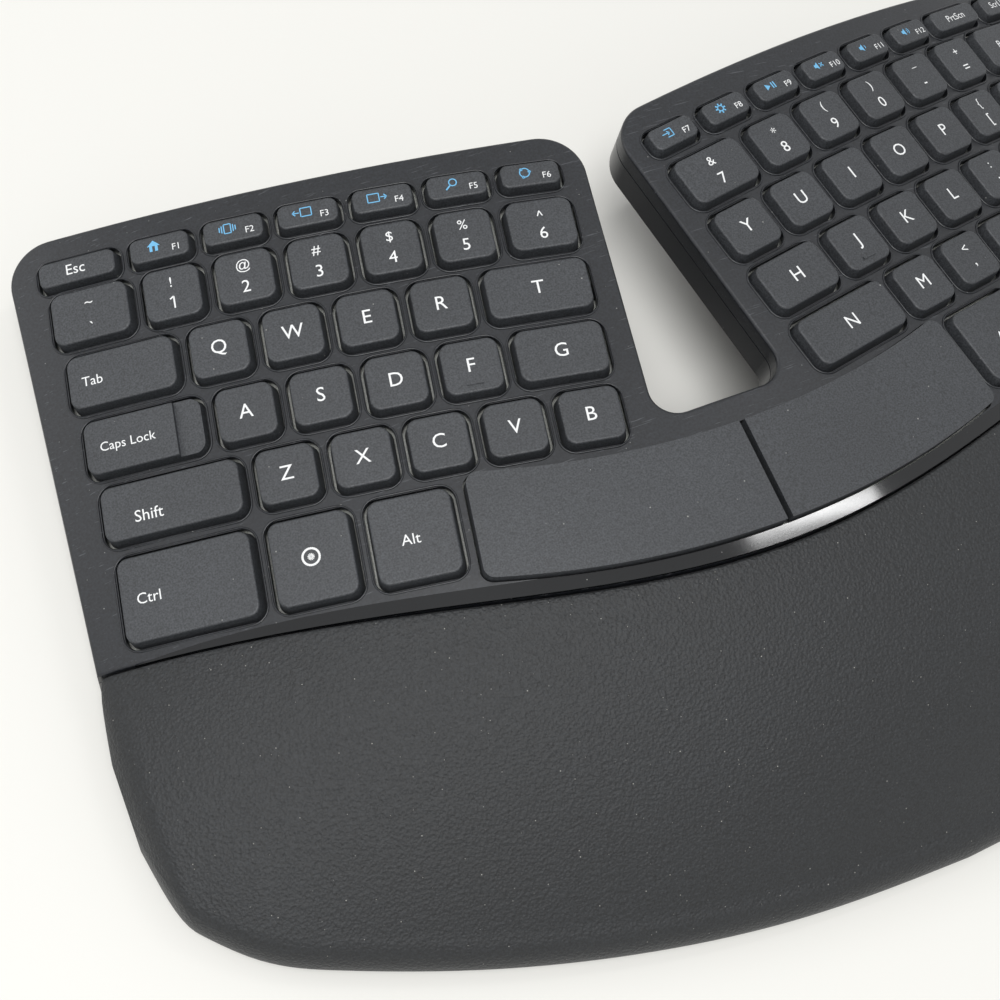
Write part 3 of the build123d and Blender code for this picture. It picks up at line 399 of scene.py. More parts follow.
# %% Polished trim
TRIM_BLACK = "#0E0F11"
trim_plastic, tree, shader, place = new_material("polished_ABS_trim", TRIM_BLACK, 0.08)
patches = dusty(tree, shader, place, TRIM_BLACK, PALE_DUST, spacing=1.5, share=0.08)
vary_roughness(tree, shader, patches, low=0.06, high=0.13)
grain(tree, shader, place, size=8.0, strength=0.02, depth=0.05)
print("made", trim_plastic.name)

# %% [markdown]
# The palm rest is covered with a soft, pebbled skin. Its pebbles are rounded cells under a millimetre wide
# that run into each other, so a cell pattern is joined with a finer noise. The skin is dull and a little
# lighter where the ceiling light grazes it, which is what sheen adds.

# %% Pad cover
COVER_BLACK = "#16181A"
pad_cover, tree, shader, place = new_material("pebbled_polyurethane_cover", COVER_BLACK, 0.6)
dusty(tree, shader, place, COVER_BLACK, "#B4B2AB", spacing=1.3, share=0.16, speckle=0.7, fine=0.55)
pebbles = add_node(
    tree,
    "ShaderNodeTexVoronoi",
    {"feature": "SMOOTH_F1"},
    {"Vector": place, "Scale": per_metre(0.9), "Smoothness": 0.5},
)
grain(tree, shader, place, size=0.5, strength=0.8, depth=0.25, second=pebbles.outputs["Distance"])
shader.inputs["Sheen Weight"].default_value = 0.05
shader.inputs["Sheen Roughness"].default_value = 0.5
print("made", pad_cover.name)

# %% [markdown]
# The lower shells are moulded from the same black plastic with a light texture, and the feet are dull
# silicone, which holds more dust. Both are quieter versions of the finishes above.

# %% Dark shells and rubber
SHELL_BLACK, RUBBER_BLACK = "#1E1F22", "#202122"
shell_plastic, tree, shader, place = new_material("textured_ABS_shell", SHELL_BLACK, 0.3)
dusty(tree, shader, place, SHELL_BLACK, "#7D7D7A", spacing=2.5, share=0.03)
grain(tree, shader, place, size=0.5, strength=0.2, depth=0.03)

foot_rubber, tree, shader, place = new_material("moulded_silicone_feet", RUBBER_BLACK, 0.8)
dusty(tree, shader, place, RUBBER_BLACK, "#73736F", spacing=1.6, share=0.08)
grain(tree, shader, place, size=0.5, strength=0.3, depth=0.03)
print("made", shell_plastic.name, "and", foot_rubber.name)

# %% [markdown]
# Inside pieces are seldom seen, but they have their finishes too: zinc-plated sheet, clear film, silicone
# domes, white links, a green board and plain cells. They differ in colour, gloss and grain alone, so one
# function makes them all. Then every CAD node gets the finish of its material slot in the record.

# %% Inner finishes


def simple_finish(name, base, roughness, size, metallic=0.0):
    """A finish with a fine grain and uneven roughness."""
    material, tree, shader, place = new_material(name, base, roughness)
    shader.inputs["Metallic"].default_value = metallic
    dusty(tree, shader, place, base, "#8A8A88", spacing=3.0, share=0.02, speckle=0.2)
    fine = grain(tree, shader, place, size, strength=0.2, depth=0.02)
    vary_roughness(tree, shader, fine, low=roughness * 0.85, high=roughness * 1.15)
    return material


inner = {
    "plate_steel": simple_finish("zinc_plated_steel", "#B9BBBC", 0.35, 0.8, 1.0),
    "wire_steel": simple_finish("drawn_steel_wire", "#AEB0B2", 0.3, 0.3, 1.0),
    "contact_steel": simple_finish("nickel_plated_contacts", "#C9C7C0", 0.2, 0.4, 1.0),
    "screw_steel": simple_finish("black_zinc_screws", "#3A3A3C", 0.35, 0.3, 1.0),
    "switch_film": simple_finish("printed_polyester_film", "#C6C8C2", 0.3, 1.0),
    "dome_rubber": simple_finish("clear_silicone_domes", "#B9B9B4", 0.6, 0.5),
    "link_plastic": simple_finish("natural_POM_links", "#DAD9D3", 0.45, 0.4),
    "board_laminate": simple_finish("solder_masked_laminate", "#1F4E2C", 0.4, 0.5),
    "chip_plastic": simple_finish("black_epoxy_chips", "#1B1B1C", 0.5, 0.2),
    "cell_jacket": simple_finish("plain_cell_jacket", "#3C4A44", 0.35, 0.6),
}
finishes = {
    "frame_plastic": frame_plastic,
    "trim_plastic": trim_plastic,
    "key_plastic": key_plastic,
    "function_key_plastic": key_plastic,
    "pad_cover": pad_cover,
    "lower_case_plastic": shell_plastic,
    "base_plastic": shell_plastic,
    "door_plastic": shell_plastic,
    "slider_plastic": key_plastic,
    "foot_rubber": foot_rubber,
    **inner,
}
for entry in frame["record"]["subparts"]:
    node = nodes[entry["node"]]
    finish = finishes[entry["material_slot"]]
    if not node.material_slots:
        node.data.materials.append(finish)
    for material_slot in node.material_slots:
        material_slot.material = finish

# %% [markdown]
# A moulded edge is never knife sharp. Around each key opening the frame has a small rounded rim that
# catches the light as a bright line. The rim could be modelled in the CAD part, where it would cost much
# time. Here a copy of the CAD frame is merged into one surface and its sharp edges are bevelled. The CAD
# piece stays in place for the physics and isn't shown.

# %% Frame with rounded rims
SAME_POINT = 1e-6
RIM_RADIUS = 0.32
FLAT_ANGLE = math.radians(0.6)
SHARP_ANGLE = math.radians(40)


def bevelled_copy(node_name, width, segments, material):
    """A copy of a CAD node with rounded edges, which stands for it."""
    mesh = nodes[node_name].data.copy()
    mesh.name = node_name + "_rounded"
    work = bmesh.new()
    work.from_mesh(mesh)
    bmesh.ops.remove_doubles(work, verts=work.verts, dist=SAME_POINT)
    bmesh.ops.dissolve_limit(
        work, angle_limit=FLAT_ANGLE, verts=work.verts, edges=work.edges, delimit=set()
    )
    work.to_mesh(mesh)
    work.free()
    piece = bpy.data.objects.new(node_name + "_rounded", mesh)
    bpy.context.scene.collection.objects.link(piece)
    mesh.materials.clear()
    mesh.materials.append(material)
    bevel = piece.modifiers.new("rounded_edges", "BEVEL")
    bevel.width = width * MM
    bevel.segments = segments
    bevel.limit_method = "ANGLE"
    bevel.angle_limit = SHARP_ANGLE
    bevel.use_clamp_overlap = True
    bevel.miter_outer = "MITER_ARC"
    mesh.shade_smooth()
    even = piece.modifiers.new("even_normals", "WEIGHTED_NORMAL")
    even.weight = 100
    view = bpy.context.evaluated_depsgraph_get()
    finished = bpy.data.meshes.new_from_object(piece.evaluated_get(view))
    piece.modifiers.clear()
    piece.data = finished
    finished.name = node_name + "_rounded"
    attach(piece, "case")
    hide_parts(node_name)
    return piece


top_frame = bevelled_copy("top_case", RIM_RADIUS, 3, frame_plastic)
print("rounded frame has", len(top_frame.data.polygons), "faces")

# %% [markdown]
# Round every key opening runs a fine raised bead, which shows as a thin bright line. Its path comes first, as
# bare edges without faces: a rectangle with round corners, a little outside the opening, bent to the frame's
# surface 2.3 mm below the tops of the caps.

# %% Outlines of the openings
OPENING_GAP = 1.2
BEAD_OFFSET = 0.45
BEAD_OUT = OPENING_GAP + BEAD_OFFSET
BEAD_DEPTH = 2.3
BEAD_RADIUS = 0.3
CAP_CORNER, CORNER_SHARE = 2.8, 0.3
CORNER_STEPS = 6


def opening_outline(half, left, right, row, depth, body):
    """Points of one rounded outline, in metres, on the frame's surface."""
    width = (right - left) / 2 + BEAD_OUT
    height = depth / 2 + BEAD_OUT
    corner = min(CAP_CORNER, CORNER_SHARE * depth) + BEAD_OUT
    place = dome_frame(half, (left + right) / 2, row, -BEAD_DEPTH)
    points = []
    for quarter, (x, y) in enumerate(((1, 1), (-1, 1), (-1, -1), (1, -1))):
        for k in range(CORNER_STEPS + 1):
            angle = math.radians(90 * quarter + 90 * k / CORNER_STEPS)
            points.append(
                (
                    x * (width - corner) + corner * math.cos(angle),
                    y * (height - corner) + corner * math.sin(angle),
                )
            )
    out = []
    for x, y in points:
        flat = place @ Vector((x * MM, y * MM, 0))
        side = flat.x / MM - SPLIT_X
        out.append((flat.x, flat.y, dome_height(side, BEAD_DEPTH) * MM))
    return out


outline_mesh = bpy.data.meshes.new("opening_outlines")
points, edges = [], []
for key in keys:
    outline = opening_outline(*key)
    start = len(points)
    points += outline
    edges += [(start + k, start + (k + 1) % len(outline)) for k in range(len(outline))]
outline_mesh.from_pydata(points, edges, [])
beads = bpy.data.objects.new("opening_beads", outline_mesh)
bpy.context.scene.collection.objects.link(beads)
print("outline points", len(points))

# %% [markdown]
# The beads repeat and follow a path, so Geometry Nodes make them. The edges become curves, and a small circle
# is swept along each. The group's inputs are named, and the modifier sets them by their identifiers. Realize
# Instances and Set Material stand last, because an export keeps only real faces with a material.

# %% Beads round the openings
sweep = bpy.data.node_groups.new("sweep_beads", "GeometryNodeTree")
sweep.interface.new_socket("Geometry", in_out="INPUT", socket_type="NodeSocketGeometry")
radius_socket = sweep.interface.new_socket("Bead radius", in_out="INPUT", socket_type="NodeSocketFloat")
finish_socket = sweep.interface.new_socket("Finish", in_out="INPUT", socket_type="NodeSocketMaterial")
sweep.interface.new_socket("Geometry", in_out="OUTPUT", socket_type="NodeSocketGeometry")
given = sweep.nodes.new("NodeGroupInput")
result = sweep.nodes.new("NodeGroupOutput")
line = add_node(sweep, "GeometryNodeMeshToCurve", inputs={"Mesh": given.outputs["Geometry"]})
circle = add_node(
    sweep,
    "GeometryNodeCurvePrimitiveCircle",
    inputs={"Resolution": 8, "Radius": given.outputs["Bead radius"]},
)
tube = add_node(
    sweep,
    "GeometryNodeCurveToMesh",
    inputs={"Curve": line.outputs["Curve"], "Profile Curve": circle.outputs["Curve"]},
)
smooth = add_node(sweep, "GeometryNodeSetShadeSmooth", inputs={"Geometry": tube.outputs["Mesh"]})
real = add_node(sweep, "GeometryNodeRealizeInstances", inputs={"Geometry": smooth.outputs["Geometry"]})
painted = add_node(
    sweep,
    "GeometryNodeSetMaterial",
    inputs={"Geometry": real.outputs["Geometry"], "Material": given.outputs["Finish"]},
)
sweep.links.new(painted.outputs["Geometry"], result.inputs["Geometry"])
swept = beads.modifiers.new("sweep", "NODES")
swept.node_group = sweep
swept[radius_socket.identifier] = BEAD_RADIUS * MM
swept[finish_socket.identifier] = frame_plastic
view = bpy.context.evaluated_depsgraph_get()
bead_mesh = bpy.data.meshes.new_from_object(beads.evaluated_get(view))
beads.modifiers.clear()
beads.data = bead_mesh
bead_mesh.name = "opening_beads"
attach(beads, "case")
print("beads have", len(bead_mesh.polygons), "faces")

# %% [markdown]
# The palm rest is foam under a stretched cover: it swells a little between the keys and its front edge, and
# rolls over at the front. Cloth simulation could puff it up, but this cover is tight and has no folds. Its
# surface follows a rule, so it is drawn as rings, one upright section after another from the left end to the
# right one, joined into a closed skin. The seam is the line where the cover meets the polished trim, and the
# stations give, at a distance from the middle of the rest, its front, its back and how far its back sinks.

# %% Curves of the palm rest
SEAM = np.array(
    [
        (-165, 14.6),
        (-125, 6.2),
        (-85, -4.4),
        (-45, -14.8),
        (0, -20),
        (45, -14.8),
        (85, -4.4),
        (125, 6.2),
        (165, 14.6),
        (220, 25.8),
    ]
)
STATIONS = np.array(
    [
        (0.0, -105.3, -14.0, 0.0),
        (47.5, -102.4, -10.0, 0.0),
        (92.5, -94.2, 1.0, 0.0),
        (132.5, -82.1, 11.0, 0.0),
        (162.5, -69.9, 17.0, 0.0),
        (179.5, -60.0, 18.0, 0.0),
        (188.5, -51.0, 16.0, 0.4),
        (193.5, -39.5, 8.0, 1.4),
        (195.7, -27.0, -6.0, 2.4),
    ]
)


def natural_spline(points, at):
    """Smooth curve through points (x, y), evaluated at x."""
    x, y = points[:, 0], points[:, 1]
    count = len(x)
    step = np.diff(x)
    system = np.eye(count)
    right = np.zeros(count)
    for i in range(1, count - 1):
        system[i, i - 1 : i + 2] = step[i - 1], 2 * (step[i - 1] + step[i]), step[i]
        right[i] = 6 * ((y[i + 1] - y[i]) / step[i] - (y[i] - y[i - 1]) / step[i - 1])
    bend = np.linalg.solve(system, right)
    i = int(np.clip(np.searchsorted(x, at) - 1, 0, count - 2))
    h, a, b = step[i], x[i + 1] - at, at - x[i]
    return (
        bend[i] * a**3 / (6 * h)
        + bend[i + 1] * b**3 / (6 * h)
        + (y[i] / h - bend[i] * h / 6) * a
        + (y[i + 1] / h - bend[i + 1] * h / 6) * b
    )


def circle_through(a, b, c):
    """Centre and radius of the circle through three points."""
    (ax, ay), (bx, by), (cx, cy) = a, b, c
    d = 2 * (ax * (by - cy) + bx * (cy - ay) + cx * (ay - by))
    sa, sb, sc = ax * ax + ay * ay, bx * bx + by * by, cx * cx + cy * cy
    ux = (sa * (by - cy) + sb * (cy - ay) + sc * (ay - by)) / d
    uy = (sa * (cx - bx) + sb * (ax - cx) + sc * (bx - ax)) / d
    return ux, uy, math.hypot(ax - ux, ay - uy)


def arc_points(a, b, c, count):
    """Points along the arc from a through b to c."""
    ux, uy, r = circle_through(a, b, c)
    start = math.atan2(a[1] - uy, a[0] - ux)
    end = math.atan2(c[1] - uy, c[0] - ux)
    turn = (end - start + math.pi) % (2 * math.pi) - math.pi
    return [
        (ux + r * math.cos(start + turn * k / count), uy + r * math.sin(start + turn * k / count))
        for k in range(count + 1)
    ]


print("the rest reaches", STATIONS[-1, 0], "mm to each side of its middle")

# %% [markdown]
# One section of the rest runs from the seam over the crowned top, round the roll at the front and back below
# the cover. The top is an arc through the seam, the crown and the shoulder, where the roll begins. On the
# right half the rest reaches back to the seam, and near its ends that extra reach fades out.

# %% Section of the palm rest
MIDDLE = 27.5
PAD_DEPTH = 2.7
PAD_THICKNESS = 5.0
SHOULDER_HEIGHT = 14.5
HEM_HEIGHT = 5.2
LEAST_ROLL, LEAST_RISE = 0.7, 0.35
ROLL_DEPTH = 7.0
ROLL_SHARE, ROLL_HEIGHT = 0.28, 0.62
CROWN = 0.065
PAD_GAP = 0.45
EDGE_RADIUS = 0.8
FULL_SPAN = 168.0
ROUND_SPAN = 188.0
EDGE_STEPS, SKIN_STEPS, ROLL_STEPS, UNDER_STEPS = 3, 46, 12, 14


def pad_ring(across):
    """Closed upright section of the pad at a distance from its middle, in millimetres."""
    span = abs(across)
    front = natural_spline(STATIONS[:, (0, 1)], span)
    back = natural_spline(STATIONS[:, (0, 2)], span)
    drop = float(np.interp(span, STATIONS[:, 0], STATIONS[:, 3]))
    x = across + MIDDLE
    rear_height = dome_height(x, PAD_DEPTH) - drop
    shoulder_height = max(min(SHOULDER_HEIGHT, rear_height - LEAST_ROLL), HEM_HEIGHT + LEAST_ROLL)
    hem = (front, HEM_HEIGHT)
    shoulder = (front + ROLL_DEPTH, shoulder_height)
    rear = (back, max(rear_height, shoulder_height + LEAST_RISE))
    run = (rear[0] - shoulder[0], rear[1] - shoulder[1])
    crown = (
        (rear[0] + shoulder[0]) / 2 - CROWN * run[1],
        (rear[1] + shoulder[1]) / 2 + CROWN * run[0],
    )
    ux, uy, r = circle_through(rear, crown, shoulder)
    limit = back
    if SEAM[0, 0] < x < SEAM[-1, 0]:
        beside = natural_spline(SEAM, x) - PAD_GAP
        share = float(np.clip((span - FULL_SPAN) / (ROUND_SPAN - FULL_SPAN), 0, 1))
        limit = min(beside, back + (1 - share) * max(beside - back, 0))

    def top(y):
        return uy + math.sqrt(max(r * r - (min(y, back) - ux) ** 2, 0.0))

    edge = []
    inset = limit - EDGE_RADIUS
    for k in range(EDGE_STEPS + 1):
        angle = math.radians(90 * k / EDGE_STEPS)
        y = limit - EDGE_RADIUS * (1 - math.cos(math.radians(90) - angle))
        edge.append((inset + EDGE_RADIUS * math.cos(angle), top(y) - EDGE_RADIUS * (1 - math.sin(angle))))
    skin = []
    for k in range(1, SKIN_STEPS + 1):
        y = inset + (shoulder[0] - inset) * k / SKIN_STEPS
        skin.append((y, top(y)))
    roll = (hem[0] + ROLL_SHARE * (shoulder[0] - hem[0]), hem[1] + ROLL_HEIGHT * (shoulder[1] - hem[1]))
    rolled = arc_points(shoulder, roll, hem, ROLL_STEPS)[1:]
    under = []
    start = front + PAD_THICKNESS
    for k in range(UNDER_STEPS + 1):
        y = start + (limit - start) * k / UNDER_STEPS
        height = top(y) - PAD_THICKNESS if y > shoulder[0] else HEM_HEIGHT
        under.append((y, max(HEM_HEIGHT, height)))
    ring = edge + skin + rolled + under
    return [(SPLIT_X + x, PLAN_Y + y, z) for y, z in ring]


print("a section has", len(pad_ring(0.0)), "points")

# %% [markdown]
# The rings lie closer together towards the ends, where the outline turns, because their places follow a
# sine. Neighbouring rings are joined by four-sided faces and both ends are closed, so the rest is one solid
# form, as a piece of foam is. It stands for the CAD pad, which is hidden.

# %% Padded palm rest
HALF_RINGS = 70
CREASE_ANGLE = math.radians(50)
reach = STATIONS[-1, 0]
shares = [math.sin(math.pi / 2 * k / HALF_RINGS) for k in range(-HALF_RINGS, HALF_RINGS + 1)]
rings = [pad_ring(share * reach) for share in shares]
pad_mesh = bpy.data.meshes.new("padded_rest")
work = bmesh.new()
rows = [[work.verts.new(Vector(p) * MM) for p in ring] for ring in rings]
for left, right in zip(rows, rows[1:]):
    for k in range(len(left)):
        n = (k + 1) % len(left)
        work.faces.new((left[k], left[n], right[n], right[k]))
work.faces.new(rows[0])
work.faces.new(rows[-1])
bmesh.ops.remove_doubles(work, verts=work.verts, dist=SAME_POINT)
bmesh.ops.recalc_face_normals(work, faces=work.faces)
work.to_mesh(pad_mesh)
work.free()
pad = bpy.data.objects.new("padded_rest", pad_mesh)
bpy.context.scene.collection.objects.link(pad)
pad_mesh.materials.append(pad_cover)
pad_mesh.shade_smooth()
pad_mesh.set_sharp_from_angle(angle=CREASE_ANGLE)
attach(pad, "case")
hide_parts("palm_pad")
print("pad", len(pad_mesh.polygons), "faces")

# %% [markdown]
# Under each cap stand a soft dome, two folding links and, below the wide keys, a wire. They give way as the
# cap goes down. The CAD model holds them all in three nodes, so copies of these are parted here. A loose part
# is found by walking along its edges from point to point, and it belongs to the key whose middle is nearest.

# %% Springs, links and wires sorted by key
SPRING_NODES = ("rubber_domes", "scissor_links", "stabiliser_bars")
SPACE_PLACES = ((-1, 95.0, -79.0, "space_bar_left"), (1, -95.0, -79.0, "space_bar_right"))
homes = [(half, (left + right) / 2, row, body) for half, left, right, row, depth, body in keys]
homes += list(SPACE_PLACES)
home_spots = np.array([list(dome_frame(half, u, v).translation)[:2] for half, u, v, body in homes])
spring_sets = [[] for home in homes]
for kind, node_name in enumerate(SPRING_NODES):
    source = bmesh.new()
    source.from_mesh(nodes[node_name].data)
    bmesh.ops.remove_doubles(source, verts=source.verts, dist=SAME_POINT)
    source.verts.ensure_lookup_table()
    owner = [-1] * len(source.verts)
    for vertex in source.verts:
        if owner[vertex.index] >= 0:
            continue
        group = [vertex]
        owner[vertex.index] = vertex.index
        for member in group:
            for edge in member.link_edges:
                other = edge.other_vert(member)
                if owner[other.index] < 0:
                    owner[other.index] = vertex.index
                    group.append(other)
        corners = np.array([member.co for member in group])
        middle = (corners.min(axis=0) + corners.max(axis=0)) / 2
        nearest = int(np.argmin(((home_spots - middle[:2]) ** 2).sum(axis=1)))
        number = {member.index: k for k, member in enumerate(group)}
        faces = {face.index: face for member in group for face in member.link_faces}.values()
        spring_sets[nearest].append(
            (kind, corners, [tuple(number[v.index] for v in face.verts) for face in faces])
        )
    source.free()
print("loose parts", sum(len(parts) for parts in spring_sets))

# %% [markdown]
# A rubber dome caves in and its links fold flat when a key is pressed. Here one mesh holds the parts of one
# key, and it rides on the case.

# %% Springs, links and wires of each key
EDGE_ANGLE = math.radians(35)
spring_finishes = [finishes[entry] for entry in ("dome_rubber", "link_plastic", "wire_steel")]
for index, ((half, u, v, body), parts) in enumerate(zip(homes, spring_sets)):
    if not parts:
        continue
    points, faces, kinds = [], [], []
    for kind, corners, part_faces in parts:
        start = len(points)
        points += [tuple(float(c) for c in corner) for corner in corners]
        faces += [tuple(start + k for k in face) for face in part_faces]
        kinds += [kind] * len(part_faces)
    mesh = bpy.data.meshes.new("spring_parts_%02d" % index)
    mesh.from_pydata(points, [], faces)
    for material in spring_finishes:
        mesh.materials.append(material)
    mesh.polygons.foreach_set("material_index", kinds)
    mesh.shade_smooth()
    mesh.set_sharp_from_angle(angle=EDGE_ANGLE)
    piece = bpy.data.objects.new("spring_parts_%02d" % index, mesh)
    bpy.context.scene.collection.objects.link(piece)
    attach(piece, "case")
    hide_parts(*SPRING_NODES)
    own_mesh(piece)
print("keys with springs", sum(bool(parts) for parts in spring_sets))

# %% [markdown]
# Legends are pad printed on the caps in white, and the small function signs in blue. They could be an image
# on the cap, but a mesh stays sharp at any distance. Each is a flat shape laid a few hundredths of a
# millimetre above its cap, and all the print on one body is gathered into one piece.

# %% Ink
WHITE, BLUE = 0, 1
white_ink, tree, shader, place = new_material("white_pad_print", "#E9EAEA", 0.5)
grain(tree, shader, place, size=0.2, strength=0.1, depth=0.01)
blue_ink, tree, shader, place = new_material("blue_pad_print", "#6FB4DE", 0.5)
grain(tree, shader, place, size=0.2, strength=0.1, depth=0.01)
PRINT_LIFT = 0.03
prints = {}


def key_middle(half, u, v):
    """Distance along the row of the middle of the key that a place lies on."""
    for side, left, right, row, depth, body in keys:
        if side == half and left <= u <= right and abs(v - row) < depth / 2:
            return (left + right) / 2
    return u


def key_frame(half, u, v):
    """A cap is flat, so its print lies on the plane that touches the dome at the key's middle."""
    middle = key_middle(half, u, v)
    return dome_frame(half, middle, v, PRINT_LIFT) @ Matrix.Translation(Vector((u - middle, 0, 0)) * MM)


def add_print(body, matrix, points, faces, ink):
    """Note a flat shape, given in millimetres on its key, to be printed on a body."""
    batch = prints.setdefault(body, ([], [], []))
    start = len(batch[0])
    batch[0].extend([matrix @ (Vector((x, y, 0)) * MM) for x, y in points])
    batch[1].extend([tuple(start + i for i in face) for face in faces])
    batch[2].extend([ink] * len(faces))


print("print lies", PRINT_LIFT, "mm above a cap")

# %% [markdown]
# Words are Blender's own text, turned into a flat mesh and scaled to the height or the width that the print
# has. Signs are of this script's own design, drawn from strokes, rings and filled outlines in millimetres.

# %% Words and strokes
CAPITAL_SHARE = 0.69
THIN, BOLD = 0.28, 0.4


def text_shape(words):
    """Flat outline of words as points and faces, centred, one unit high per line."""
    data = bpy.data.curves.new("words", "FONT")
    data.body = words
    data.align_x = "CENTER"
    data.resolution_u = 3
    holder = bpy.data.objects.new("words", data)
    bpy.context.scene.collection.objects.link(holder)
    view = bpy.context.evaluated_depsgraph_get()
    mesh = bpy.data.meshes.new_from_object(holder.evaluated_get(view))
    points = [(v.co.x, v.co.y) for v in mesh.vertices]
    faces = [tuple(p.vertices) for p in mesh.polygons]
    bpy.data.objects.remove(holder)
    bpy.data.curves.remove(data)
    bpy.data.meshes.remove(mesh)
    return points, faces


def write(body, half, u, v, words, height=None, width=None, ink=WHITE):
    """Print words with their middle at u, v, sized by height or by width in millimetres."""
    points, faces = text_shape(words)
    xs = [p[0] for p in points]
    ys = [p[1] for p in points]
    middle = ((max(xs) + min(xs)) / 2, (max(ys) + min(ys)) / 2)
    size = height / CAPITAL_SHARE if height else width / (max(xs) - min(xs))
    points = [((x - middle[0]) * size, (y - middle[1]) * size) for x, y in points]
    add_print(body, key_frame(half, u, v), points, faces, ink)


def stroke(line, width):
    """Quads along a broken line."""
    points, faces = [], []
    for (ax, ay), (bx, by) in zip(line, line[1:]):
        length = math.hypot(bx - ax, by - ay)
        nx, ny = -(by - ay) / length * width / 2, (bx - ax) / length * width / 2
        start = len(points)
        points += [(ax + nx, ay + ny), (ax - nx, ay - ny), (bx - nx, by - ny), (bx + nx, by + ny)]
        faces.append((start, start + 1, start + 2, start + 3))
    return points, faces


def loop(radius, width, start=0.0, end=360.0, x=0.0, y=0.0, count=20):
    """A ring or an arc of the given stroke width."""
    angles = [math.radians(start + (end - start) * k / count) for k in range(count + 1)]
    return stroke([(x + radius * math.cos(a), y + radius * math.sin(a)) for a in angles], width)


def filled(outline):
    """One filled outline."""
    return list(outline), [tuple(range(len(outline)))]


def box_line(x0, y0, x1, y1, width=THIN):
    """The outline of a rectangle."""
    return stroke([(x0, y0), (x1, y0), (x1, y1), (x0, y1), (x0, y0)], width)


def speaker(waves):
    """A loudspeaker with a number of sound waves."""
    shapes = [filled([(-1.6, -0.5), (-1.0, -0.5), (-0.2, -1.2), (-0.2, 1.2), (-1.0, 0.5), (-1.6, 0.5)])]
    shapes += [loop(0.7 + 0.6 * k, 0.25, -45, 45, 0.0, 0.0, 8) for k in range(waves)]
    return shapes


def ray(angle, inner, outer):
    """A short bold stroke that points away from the middle."""
    x, y = math.cos(math.radians(angle)), math.sin(math.radians(angle))
    return stroke([(inner * x, inner * y), (outer * x, outer * y)], BOLD)


print("a ring of print has", len(loop(1.0, THIN)[1]), "faces")

# %% [markdown]
# Each small sign is a list of shapes. Their meanings are the usual ones of a function row: home, switch
# windows, move left and right, search, share, connect, settings, play, sound off, quieter and louder.

# %% Signs
SIGNS = {
    "home": [
        filled([(-1.7, 0.1), (0, 1.7), (1.7, 0.1), (1.1, 0.1), (-1.1, 0.1)]),
        filled([(-1.1, 0.1), (-1.1, -1.4), (-0.35, -1.4), (-0.35, 0.1)]),
        filled([(0.35, 0.1), (0.35, -1.4), (1.1, -1.4), (1.1, 0.1)]),
    ],
    "panels": [
        box_line(-0.9, -1.3, 0.9, 1.3),
        stroke([(-1.5, -1.0), (-1.5, 1.0)], THIN),
        stroke([(-2.1, -0.7), (-2.1, 0.7)], THIN),
        stroke([(1.5, -1.0), (1.5, 1.0)], THIN),
        stroke([(2.1, -0.7), (2.1, 0.7)], THIN),
    ],
    "to_left": [
        box_line(-0.4, -1.2, 2.4, 1.2),
        stroke([(-2.5, 0), (-0.8, 0)], THIN),
        stroke([(-1.8, 0.7), (-2.5, 0), (-1.8, -0.7)], THIN),
    ],
    "to_right": [
        box_line(-2.4, -1.2, 0.6, 1.2),
        stroke([(1.0, 0), (2.6, 0)], THIN),
        stroke([(1.9, 0.7), (2.6, 0), (1.9, -0.7)], THIN),
    ],
    "look": [loop(1.0, 0.32, 0, 360, 0.5, 0.5), stroke([(-0.2, -0.2), (-1.5, -1.5)], BOLD)],
    "ring": [
        loop(1.3, 0.3, 20, 120),
        loop(1.3, 0.3, 140, 240),
        loop(1.3, 0.3, 260, 360),
        loop(0.25, 0.4, 0, 360, 1.3, 0.2),
        loop(0.25, 0.4, 0, 360, -0.8, 1.0),
        loop(0.25, 0.4, 0, 360, -0.5, -1.3),
    ],
    "enter": [
        stroke([(-0.6, 1.2), (1.4, 1.2), (1.4, -1.2), (-0.6, -1.2)], THIN),
        stroke([(-1.8, 0), (0.5, 0)], THIN),
        stroke([(-0.2, 0.6), (0.5, 0), (-0.2, -0.6)], THIN),
    ],
    "wheel": [loop(0.85, 0.35)] + [ray(45 * k, 1.0, 1.6) for k in range(8)],
    "play": [
        filled([(-1.8, -1.0), (-0.2, 0), (-1.8, 1.0)]),
        stroke([(0.5, -1.0), (0.5, 1.0)], BOLD),
        stroke([(1.3, -1.0), (1.3, 1.0)], BOLD),
    ],
    "mute": speaker(0) + [stroke([(0.4, -0.6), (1.6, 0.6)], THIN), stroke([(0.4, 0.6), (1.6, -0.6)], THIN)],
    "quieter": speaker(1),
    "louder": speaker(2),
    "system": [loop(2.1, 0.55, 0, 360, 0, 0, 28), loop(0.45, 0.9, 0, 360, 0, 0, 12)],
    "menu": [box_line(-1.5, -1.8, 1.5, 1.8, 0.3)]
    + [stroke([(-0.8, y), (0.8, y)], THIN) for y in (-0.8, 0.0, 0.8)],
    "left": [stroke([(1.6, 0), (-1.4, 0)], BOLD), stroke([(-0.4, 1.1), (-1.5, 0), (-0.4, -1.1)], BOLD)],
    "right": [stroke([(-1.6, 0), (1.4, 0)], BOLD), stroke([(0.4, 1.1), (1.5, 0), (0.4, -1.1)], BOLD)],
    "up": [stroke([(0, -1.6), (0, 1.4)], BOLD), stroke([(-1.1, 0.4), (0, 1.5), (1.1, 0.4)], BOLD)],
    "down": [stroke([(0, 1.6), (0, -1.4)], BOLD), stroke([(-1.1, -0.4), (0, -1.5), (1.1, -0.4)], BOLD)],
}


def sign(body, half, u, v, name, ink=WHITE):
    """Print one sign with its middle at u, v."""
    for points, faces in SIGNS[name]:
        add_print(body, key_frame(half, u, v), points, faces, ink)


print("signs", len(SIGNS))

